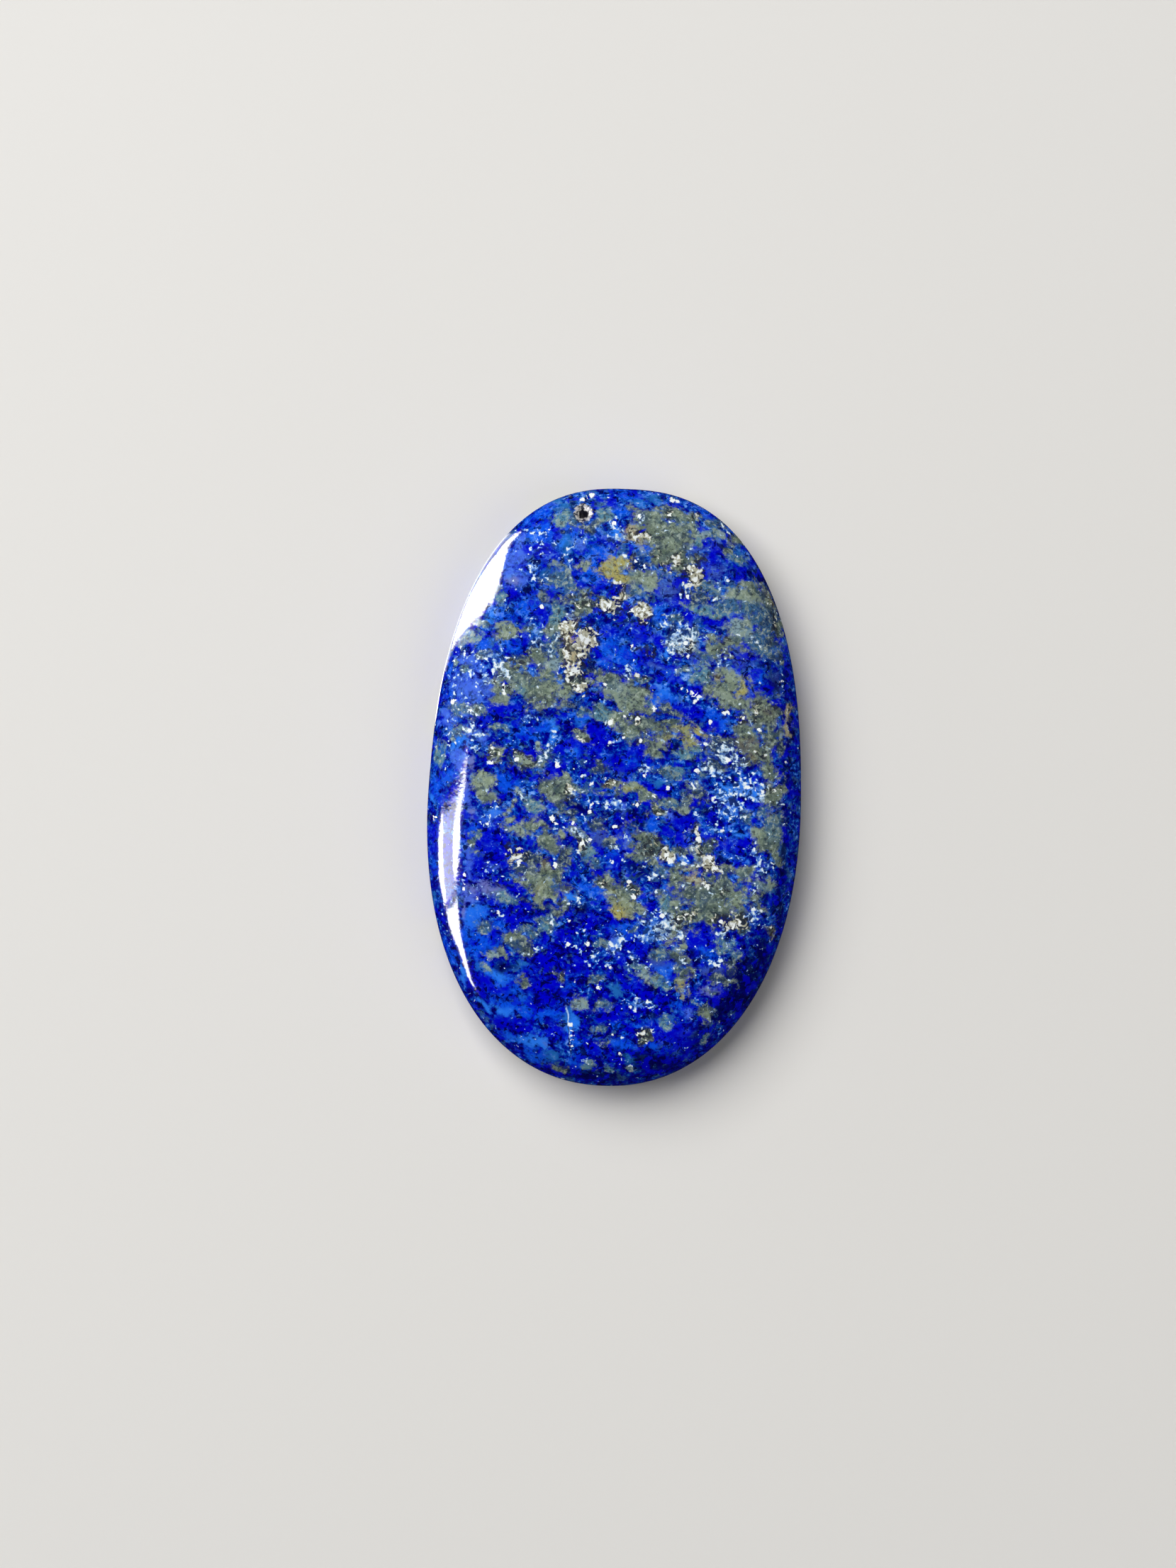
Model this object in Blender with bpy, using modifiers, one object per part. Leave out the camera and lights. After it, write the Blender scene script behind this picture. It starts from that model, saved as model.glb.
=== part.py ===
# Polished lapis lazuli cabochon: an oval stone with a flat back, an upright wall, a sloping
# rounded shoulder and a gently domed face, with one small chipped pit near the squarer end.
# The back lies on z = 0, the face looks up +Z and the long axis runs along Y.

import math

import bmesh
import bpy
from mathutils import Vector

# Driving dimensions, in metres.
STONE_LENGTH = 0.0400
STONE_WIDTH = 0.0250
STONE_HEIGHT = 0.0056

# The outline is an oval: fuller than an ellipse at the +Y end, close to one at the -Y end,
# and a little wider towards -Y.
FULLNESS_TOP = 2.49
FULLNESS_BOTTOM = 2.14
EGG_TAPER = 0.062

# The edge in section, from the back up: a quarter round, the upright wall, a small round,
# and the shoulder, which starts at SHOULDER_TILT and eases out into the domed face.
UNDER_RADIUS = 0.0009
EDGE_RADIUS = 0.0009
SHOULDER_TILT = math.radians(48)
SHOULDER_INSET = 0.0028
FACE_RISE = 0.0005

EDGE_INSET = EDGE_RADIUS * (1 - math.sin(SHOULDER_TILT))
EDGE_RISE = EDGE_RADIUS * math.cos(SHOULDER_TILT)
SHOULDER_RUN = SHOULDER_INSET - EDGE_INSET
SHOULDER_RISE = SHOULDER_RUN * math.tan(SHOULDER_TILT) / 2
WALL_TOP = STONE_HEIGHT - FACE_RISE - SHOULDER_RISE - EDGE_RISE

# The pit, placed in the plan of the face.
PIT_X = -0.00290
PIT_Y = 0.01815
PIT_RIM_RADIUS = 0.00062
PIT_RIM_DEPTH = 0.00024
PIT_RADIUS = 0.00029
PIT_DEPTH = 0.00085
PIT_CUTTER_ABOVE = 0.0004

# How finely the shape is divided.
SEGMENTS_AROUND = 96
UNDER_STEPS = 4
EDGE_STEPS = 4
SHOULDER_STEPS = 7
FACE_STEPS = 7
PIT_SEGMENTS = 16
SHARP_ANGLE = math.radians(35)

STONE_COLOUR = (0.018, 0.055, 0.42, 1.0)
STONE_ROUGHNESS = 0.12

COLLECTION_NAME = "lapis_cabochon"
CUTTER_COLLECTION_NAME = "lapis_cutters"


def clear_scene():
    for thing in list(bpy.data.objects):
        bpy.data.objects.remove(thing)


def add_collection(name):
    collection = bpy.data.collections.new(name)
    bpy.context.scene.collection.children.link(collection)
    return collection


def stone_material():
    material = bpy.data.materials.new("polished_lapis")
    material.use_nodes = True
    shader = material.node_tree.nodes["Principled BSDF"]
    shader.inputs["Base Color"].default_value = STONE_COLOUR
    shader.inputs["Roughness"].default_value = STONE_ROUGHNESS
    shader.inputs["Metallic"].default_value = 0.0
    return material


def fullness(y):
    return FULLNESS_TOP if y > 0 else FULLNESS_BOTTOM


def taper(y):
    """The share of the middle half-width that the oval has at y."""
    return 1 - EGG_TAPER * y / (STONE_LENGTH / 2)


def unit_outline(turn):
    """A point of the outline at an angle, for a half-width of 1 at y = 0."""
    across, along = math.cos(turn), math.sin(turn)
    power = fullness(along)
    reach = (abs(across) ** power + abs(along) ** power) ** (-1 / power)
    y = along * reach * STONE_LENGTH / 2
    return across * reach * taper(y), y


def middle_half_width():
    """The half-width at y = 0 that makes the oval STONE_WIDTH wide where it is widest."""
    steps = 720
    widest = max(unit_outline(math.tau * i / steps)[0] for i in range(steps))
    return STONE_WIDTH / 2 / widest


HALF_WIDTH = middle_half_width()


def outline(turn):
    x, y = unit_outline(turn)
    return Vector((x * HALF_WIDTH, y))


def inset_point(turn, inset):
    """A point of the outline moved inwards, square to the outline."""
    small = 1e-4
    along = (outline(turn + small) - outline(turn - small)).normalized()
    inwards = Vector((-along.y, along.x))
    return outline(turn) + inwards * inset


def centre_share(x, y):
    """0 on the axis of the stone, 1 on its outline."""
    power = fullness(y)
    across = abs(x) / (HALF_WIDTH * taper(y))
    along = abs(y) / (STONE_LENGTH / 2)
    return (across**power + along**power) ** (1 / power)


def dome(x, y):
    return FACE_RISE * (1 - min(1.0, centre_share(x, y)) ** 2)


def shoulder(inset):
    """The height over the wall at an inset: the small round, then the easing shoulder."""
    if inset < EDGE_INSET:
        out = 1 - inset / EDGE_RADIUS
        return EDGE_RADIUS * math.sqrt(1 - out**2)
    along = min(1.0, (inset - EDGE_INSET) / SHOULDER_RUN)
    return EDGE_RISE + SHOULDER_RISE * (2 * along - along**2)


def upper_point(turn, inset):
    x, y = inset_point(turn, inset)
    return Vector((x, y, WALL_TOP + shoulder(inset) + dome(x, y)))


def face_point(turn, share):
    """A point of the domed face, at a share of the way from its middle to the shoulder."""
    x, y = inset_point(turn, SHOULDER_INSET) * share
    return Vector((x, y, WALL_TOP + shoulder(SHOULDER_INSET) + dome(x, y)))


def under_point(turn, bend):
    """A point of the round at the back: bend 0 is on the back, a quarter turn on the wall."""
    x, y = inset_point(turn, UNDER_RADIUS * (1 - math.sin(bend)))
    return Vector((x, y, UNDER_RADIUS * (1 - math.cos(bend))))


def ring_makers():
    """The rings of the stone from the edge of its back to the middle of its face, as functions."""
    quarter = math.pi / 2
    rings = []
    for i in range(UNDER_STEPS + 1):
        bend = quarter * i / UNDER_STEPS
        rings.append(lambda turn, bend=bend: under_point(turn, bend))
    insets = []
    for i in range(EDGE_STEPS):
        tilt = quarter + (SHOULDER_TILT - quarter) * i / EDGE_STEPS
        insets.append(EDGE_RADIUS * (1 - math.sin(tilt)))
    for i in range(SHOULDER_STEPS + 1):
        insets.append(EDGE_INSET + SHOULDER_RUN * i / SHOULDER_STEPS)
    for inset in insets:
        rings.append(lambda turn, inset=inset: upper_point(turn, inset))
    for i in range(1, FACE_STEPS):
        share = 1 - i / FACE_STEPS
        rings.append(lambda turn, share=share: face_point(turn, share))
    return rings


def draw_out(form, loop, edges):
    """Extrudes an edge loop and gives the new loop, in the same order, and its edges."""
    drawn = bmesh.ops.extrude_edge_only(form, edges=edges)["geom"]
    fresh = set(g for g in drawn if isinstance(g, bmesh.types.BMVert))
    new_loop = []
    for vertex in loop:
        others = [edge.other_vert(vertex) for edge in vertex.link_edges]
        new_loop.append(next(v for v in others if v in fresh))
    new_edges = [
        g for g in drawn if isinstance(g, bmesh.types.BMEdge) and all(v in fresh for v in g.verts)
    ]
    return new_loop, new_edges


def make_stone(collection):
    """The oval, lofted: one edge loop is drawn out and shaped ring by ring."""
    turns = [math.tau * i / SEGMENTS_AROUND for i in range(SEGMENTS_AROUND)]
    rings = ring_makers()
    form = bmesh.new()
    loop = bmesh.ops.create_circle(form, segments=SEGMENTS_AROUND, radius=1.0)["verts"]
    edges = list(form.edges)
    for vertex, turn in zip(loop, turns):
        vertex.co = rings[0](turn)
    form.faces.new(loop)
    for ring in rings[1:]:
        loop, edges = draw_out(form, loop, edges)
        for vertex, turn in zip(loop, turns):
            vertex.co = ring(turn)
    middle = form.faces.new(loop)
    peak = bmesh.ops.poke(form, faces=[middle])["verts"][0]
    peak.co = Vector((0, 0, STONE_HEIGHT))
    bmesh.ops.recalc_face_normals(form, faces=list(form.faces))
    mesh = bpy.data.meshes.new("lapis_stone")
    form.to_mesh(mesh)
    form.free()
    mesh.materials.append(stone_material())
    mesh.shade_smooth()
    mesh.set_sharp_from_angle(angle=SHARP_ANGLE)
    stone = bpy.data.objects.new("lapis_stone", mesh)
    collection.objects.link(stone)
    return stone


def surface_height(x, y):
    """The height of the upper surface at a place in plan, from the nearest point of the outline."""
    steps = 1440
    nearest = min((outline(math.tau * i / steps) - Vector((x, y))).length for i in range(steps))
    return WALL_TOP + shoulder(nearest) + dome(x, y)


def surface_normal(x, y):
    step = 0.0002
    slope_x = (surface_height(x + step, y) - surface_height(x - step, y)) / (2 * step)
    slope_y = (surface_height(x, y + step) - surface_height(x, y - step)) / (2 * step)
    return Vector((-slope_x, -slope_y, 1)).normalized()


def make_pit_cutter(collection):
    """A turned cutter: a shallow chipped funnel over a narrow blind hole."""
    flare = PIT_RIM_RADIUS - PIT_RADIUS
    above_radius = PIT_RIM_RADIUS + flare * PIT_CUTTER_ABOVE / PIT_RIM_DEPTH
    profile = [
        (0, PIT_CUTTER_ABOVE),
        (above_radius, PIT_CUTTER_ABOVE),
        (PIT_RADIUS, -PIT_RIM_DEPTH),
        (PIT_RADIUS, -PIT_DEPTH),
        (0, -PIT_DEPTH - PIT_RADIUS / 2),
    ]
    mesh = bpy.data.meshes.new("pit_cutter")
    spans = [(i, i + 1) for i in range(len(profile) - 1)]
    mesh.from_pydata([(r, 0, z) for r, z in profile], spans, [])
    cutter = bpy.data.objects.new("pit_cutter", mesh)
    collection.objects.link(cutter)
    turned = cutter.modifiers.new("turn", "SCREW")
    turned.steps = PIT_SEGMENTS
    turned.render_steps = PIT_SEGMENTS
    turned.use_merge_vertices = True
    turned.merge_threshold = 1e-6
    cutter.location = (PIT_X, PIT_Y, surface_height(PIT_X, PIT_Y))
    cutter.rotation_euler = surface_normal(PIT_X, PIT_Y).to_track_quat("Z", "Y").to_euler()
    cutter.hide_render = True
    cutter.display_type = "WIRE"
    return cutter


def cut_pit(stone, cutter):
    cut = stone.modifiers.new("pit", "BOOLEAN")
    cut.operation = "DIFFERENCE"
    cut.object = cutter


def main():
    clear_scene()
    parts = add_collection(COLLECTION_NAME)
    cutters = add_collection(CUTTER_COLLECTION_NAME)
    stone = make_stone(parts)
    cut_pit(stone, make_pit_cutter(cutters))


main()
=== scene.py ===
import math

import bmesh
import bpy
import numpy as np
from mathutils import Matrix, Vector, noise


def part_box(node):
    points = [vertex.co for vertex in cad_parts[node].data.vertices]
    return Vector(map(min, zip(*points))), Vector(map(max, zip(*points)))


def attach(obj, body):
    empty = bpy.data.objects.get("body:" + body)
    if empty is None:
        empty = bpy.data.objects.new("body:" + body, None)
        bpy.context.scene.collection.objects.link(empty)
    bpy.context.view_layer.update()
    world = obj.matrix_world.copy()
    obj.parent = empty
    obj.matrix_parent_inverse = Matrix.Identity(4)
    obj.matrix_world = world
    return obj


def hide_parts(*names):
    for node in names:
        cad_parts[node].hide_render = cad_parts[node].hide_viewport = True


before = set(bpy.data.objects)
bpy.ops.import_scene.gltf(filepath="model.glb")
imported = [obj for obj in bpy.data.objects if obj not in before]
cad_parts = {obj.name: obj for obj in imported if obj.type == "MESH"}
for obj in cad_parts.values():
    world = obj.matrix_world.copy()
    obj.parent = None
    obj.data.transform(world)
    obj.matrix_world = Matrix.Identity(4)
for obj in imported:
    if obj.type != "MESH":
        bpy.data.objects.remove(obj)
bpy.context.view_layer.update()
print("frame loaded")

mm = 0.001               # lengths below are in millimetres on the stone: x across, y along, z up


# The stone's form: its sizes come from the frame, the rest repeats how the solid is shaped.
form = {
    "node": "lapis_stone",
    "fullnessTop": 2.49,         # how square the oval is towards +y, where 2 is an ellipse
    "fullnessBottom": 2.14,
    "eggTaper": 0.062,           # how much wider it grows towards -y
    "underRadius": 0.9,
    "edgeRadius": 0.9,
    "shoulderTilt": 48,          # degrees
    "shoulderInset": 2.8,
    "faceRise": 0.5,
    "turns": 530,                # points round the oval
    "backRings": 10,
    "underRings": 6,
    "wallRings": 8,
    "edgeRings": 7,
    "shoulderRings": 38,
    "faceRings": 92,
    "ripple": 0.003,             # waviness that the polishing left
    "rippleSize": 2.6,
    "mapMargin": 0.5,            # left free round each half of the flat map
    "widthSteps": 2880,          # how finely the oval is searched for its widest place,
    "pitSteps": 7200,            # and for its place nearest the pit
}

# The chipped pit near the squarer end.
pit = {
    "x": -2.90,
    "y": 18.15,
    "rimRadius": 0.66,
    "rimDepth": 0.24,
    "radius": 0.30,
    "depth": 0.85,
    "wallWidth": 0.09,           # how far its wall leans
    "ragged": 0.16,              # how far its rim strays from a circle, in lumps of these two sizes
    "largeLumps": 0.35,
    "smallLumps": 0.16,
    "turnReach": 0.10,           # the angle over which points lie closer beside it, and how much closer
    "turnCrowding": 3.0,
    "insetReach": 0.75,          # the same from the outline inwards
    "insetCrowding": 1.6,
}

lowest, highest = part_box(form["node"])
halfLength = (highest.y - lowest.y) / 2 / mm
halfWidth = (highest.x - lowest.x) / 2 / mm
height = (highest.z - lowest.z) / mm

quarter = math.pi / 2
tilt = math.radians(form["shoulderTilt"])
edgeInset = form["edgeRadius"] * (1 - math.sin(tilt))
edgeRise = form["edgeRadius"] * math.cos(tilt)
shoulderRun = form["shoulderInset"] - edgeInset
shoulderRise = shoulderRun * math.tan(tilt) / 2
wallTop = height - form["faceRise"] - shoulderRise - edgeRise


def ovalAt(turns):
    across, along = np.cos(turns), np.sin(turns)
    power = np.where(along > 0, form["fullnessTop"], form["fullnessBottom"])
    reach = (abs(across) ** power + abs(along) ** power) ** (-1 / power)
    y = along * reach * halfLength
    x = across * reach * (1 - form["eggTaper"] * y / halfLength)
    return np.stack([x, y], axis=-1)


def turnsRound(steps):
    return np.linspace(0, math.tau, steps + 1)


middleWidth = halfWidth / ovalAt(turnsRound(form["widthSteps"]))[:, 0].max()


def insetAt(turns, inset):       # the outline moved inwards, square to itself
    small = 1e-4
    scale = (middleWidth, 1)
    along = (ovalAt(turns + small) - ovalAt(turns - small)) * scale
    along /= np.linalg.norm(along, axis=-1, keepdims=True)
    inwards = np.stack([-along[..., 1], along[..., 0]], axis=-1)
    return ovalAt(turns) * scale + inwards * inset


def domeAt(plan):
    x, y = plan[..., 0], plan[..., 1]
    power = np.where(y > 0, form["fullnessTop"], form["fullnessBottom"])
    across = abs(x) / (middleWidth * (1 - form["eggTaper"] * y / halfLength))
    share = (across ** power + (abs(y) / halfLength) ** power) ** (1 / power)
    return form["faceRise"] * (1 - np.minimum(share, 1) ** 2)


def shoulderAt(inset):           # height over the wall: a small round, then the easing slope
    if inset < edgeInset:
        return form["edgeRadius"] * math.sqrt(1 - (1 - inset / form["edgeRadius"]) ** 2)
    along = min(1, (inset - edgeInset) / shoulderRun)
    return edgeRise + shoulderRise * (2 * along - along ** 2)


def crowded(count, first, last, middle, reach, crowding):  # a row of values, closer near middle
    fine = np.linspace(first, last, 20 * count)
    wish = 1 + crowding * np.exp(-((fine - middle) / reach) ** 2)
    sums = np.concatenate([[0], np.cumsum(wish[1:] + wish[:-1])])
    return np.interp(np.linspace(0, sums[-1], count), sums, fine)


def wander(points, size, seed):  # smooth noise from about -1 to 1 at each point
    shift = Vector((seed * 31.7, seed * 12.9, seed * 7.3))
    return np.array([noise.noise(Vector(point) / size + shift) for point in points.reshape(-1, 3)])


def eased(share):                # a share from 0 to 1 that starts and ends softly
    share = np.clip(share, 0, 1)
    return share * share * (3 - 2 * share)


# The side of the stone in section, from its back up to its face, as insets and heights.
def sectionPoints(pitInset):
    under = form["underRadius"]
    section = []
    for i in range(form["underRings"] + 1):
        bend = quarter * i / form["underRings"]
        section.append((under * (1 - math.sin(bend)), under * (1 - math.cos(bend))))
    for i in range(1, form["wallRings"]):
        section.append((0, under + (wallTop - under) * i / form["wallRings"]))
    for i in range(form["edgeRings"]):
        bend = quarter + (tilt - quarter) * i / form["edgeRings"]
        inset = form["edgeRadius"] * (1 - math.sin(bend))
        section.append((inset, wallTop + shoulderAt(inset)))
    insets = crowded(form["shoulderRings"], edgeInset, form["shoulderInset"],
                     pitInset, pit["insetReach"], pit["insetCrowding"])
    for inset in insets:
        section.append((inset, wallTop + shoulderAt(inset)))
    return np.array(section)


# Rings of points from the middle of the back to the middle of the face, and for each ring its
# place on a flat map, where the side is rolled outwards round the face.
def stoneRings(turns, pitInset):
    section = sectionPoints(pitInset)
    steps = np.linalg.norm(np.diff(section, axis=0), axis=1)
    rolled = form["shoulderInset"] - np.concatenate([np.cumsum(steps[::-1])[::-1], [0]])
    rings, maps = [], []

    def addRing(plan, z, flatPlan):
        rings.append(np.dstack([plan[:, 0], plan[:, 1], z + 0 * plan[:, 0]])[0])
        maps.append(flatPlan)

    backEdge = insetAt(turns, form["underRadius"])
    for i in range(1, form["backRings"]):
        addRing(backEdge * i / form["backRings"], 0, insetAt(turns, rolled[0]))
    for (inset, z), out in zip(section, rolled):
        plan = insetAt(turns, inset)
        rise = domeAt(plan) if z >= wallTop else 0
        addRing(plan, z + rise, insetAt(turns, out))
    faceEdge = insetAt(turns, form["shoulderInset"])
    for i in range(1, form["faceRings"]):
        plan = faceEdge * (1 - i / form["faceRings"])
        addRing(plan, height - form["faceRise"] + domeAt(plan), plan)
    return np.array(rings), np.array(maps)


def sinkPit(rings):
    away = np.linalg.norm(rings[:, :, :2] - (pit["x"], pit["y"]), axis=2)
    away[rings[:, :, 2] < wallTop] = np.inf
    i, j = np.unravel_index(away.argmin(), away.shape)
    axis = np.cross(rings[i, j + 1] - rings[i, j - 1], rings[i + 1, j] - rings[i - 1, j])
    axis *= np.sign(axis[2]) / np.linalg.norm(axis)
    offset = rings - rings[i, j]
    offset = offset - (offset @ axis)[..., None] * axis
    distance = np.linalg.norm(offset, axis=2)
    near = (distance < 2 * pit["rimRadius"]) & (rings[:, :, 2] > wallTop)
    lumps = wander(rings[near], pit["largeLumps"], 4) + wander(rings[near], pit["smallLumps"], 5)
    distance = distance[near] * (1 + pit["ragged"] * lumps)
    rim = np.clip((pit["rimRadius"] - distance) / (pit["rimRadius"] - pit["radius"]), 0, 1)
    hole = eased((pit["radius"] - distance) / pit["wallWidth"])
    sunk = pit["rimDepth"] * rim + (pit["depth"] - pit["rimDepth"]) * hole
    rings[near] -= sunk[:, None] * axis


def placed(name, body):          # a bmesh made into an object of the scene
    mesh = bpy.data.meshes.new(name)
    body.to_mesh(mesh)
    body.free()
    thing = bpy.data.objects.new(name, mesh)
    bpy.context.scene.collection.objects.link(thing)
    return thing


def makeStone():
    around = turnsRound(form["pitSteps"])
    toPit = np.linalg.norm(insetAt(around, 0) - (pit["x"], pit["y"]), axis=1)
    pitTurn = around[toPit.argmin()]
    count = form["turns"]
    turns = crowded(count + 1, pitTurn - math.pi, pitTurn + math.pi,
                    pitTurn, pit["turnReach"], pit["turnCrowding"])[:-1]
    rings, maps = stoneRings(turns, toPit.min())
    upper = rings[:, :, 2] > wallTop
    wave = wander(rings[upper], form["rippleSize"], 1)
    rings[upper, 2] -= form["ripple"] * (1 + wave)
    sinkPit(rings)

    body = bmesh.new()
    layer = body.loops.layers.uv.new("OFBake")
    backMiddle = body.verts.new((0, 0, 0))
    faceMiddle = body.verts.new((0, 0, height * mm))
    verts = [[body.verts.new(point) for point in ring * mm] for ring in rings]

    # The map holds the face with its side rolled out, and the back beside it.
    margin = form["mapMargin"]
    reach = abs(maps).max(axis=(0, 1)) + margin
    tall = 2 * reach[1]
    spare = tall - 2 * reach[0]
    backScale = spare / (2 * (halfWidth - form["underRadius"] + margin))
    facePlace = np.array((reach[0], reach[1]))
    backPlace = np.array((tall - spare / 2, reach[1]))

    def corner(i, j):
        return verts[i][j], maps[i, j]

    def addFace(corners, onBack):
        face = body.faces.new([vert for vert, flat in corners])
        for loop, (vert, flat) in zip(face.loops, corners):
            place = backPlace + np.array(vert.co.xy) / mm * backScale if onBack else facePlace + flat
            loop[layer].uv = place / tall

    last = len(rings) - 1
    for j in range(count):
        k = (j + 1) % count
        addFace([(backMiddle, None), corner(0, k), corner(0, j)], True)
        addFace([(faceMiddle, np.zeros(2)), corner(last, j), corner(last, k)], False)
        for i in range(last):
            square = [corner(i, j), corner(i, k), corner(i + 1, k), corner(i + 1, j)]
            addFace(square, i < form["backRings"] - 1)
    bmesh.ops.recalc_face_normals(body, faces=list(body.faces))
    stone = placed("polished_lapis", body)
    stone.data.shade_smooth()
    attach(stone, "root")
    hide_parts(form["node"])
    return stone


stone = makeStone()
print("stone made:", len(stone.data.vertices), "points")


def shade(red, green, blue):     # a colour as seen on a screen, 0 to 255, made linear
    return tuple(((v / 255 + 0.055) / 1.055) ** 2.4 if v > 10 else v / 255 / 12.92
                 for v in (red, green, blue))


# The colours of the minerals, as they look in white light; some also serve as painted shade, sheen and
# glints.
palette = {
    "royal": shade(2, 40, 160),
    "deep": shade(0, 0, 206),
    "navy": shade(0, 0, 64),
    "azure": shade(8, 84, 236),
    "sky": shade(44, 132, 255),
    "lavender": shade(72, 110, 236),
    "dusk": shade(58, 80, 172),
    # the next is pale haze, and painted sheen beside the reflections
    "hazeAndSheen": shade(116, 124, 194),
    "turquoise": shade(34, 108, 184),
    "oliveDark": shade(66, 84, 82),
    "olive": shade(101, 117, 97),
    "olivePale": shade(141, 158, 133),
    "yellowOlive": shade(152, 154, 90),
    "umber": shade(104, 98, 76),
    "slate": shade(56, 102, 146),
    "slateDark": shade(34, 58, 96),
    "teal": shade(84, 134, 158),
    "mist": shade(132, 160, 168),
    "mustard": shade(176, 168, 86),
    "tan": shade(186, 172, 132),
    "frost": shade(80, 134, 226),
    "snow": shade(178, 212, 244),
    # the next is a painted glint: white standing in for light caught by grains
    "glint": shade(246, 252, 252),
}
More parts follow.
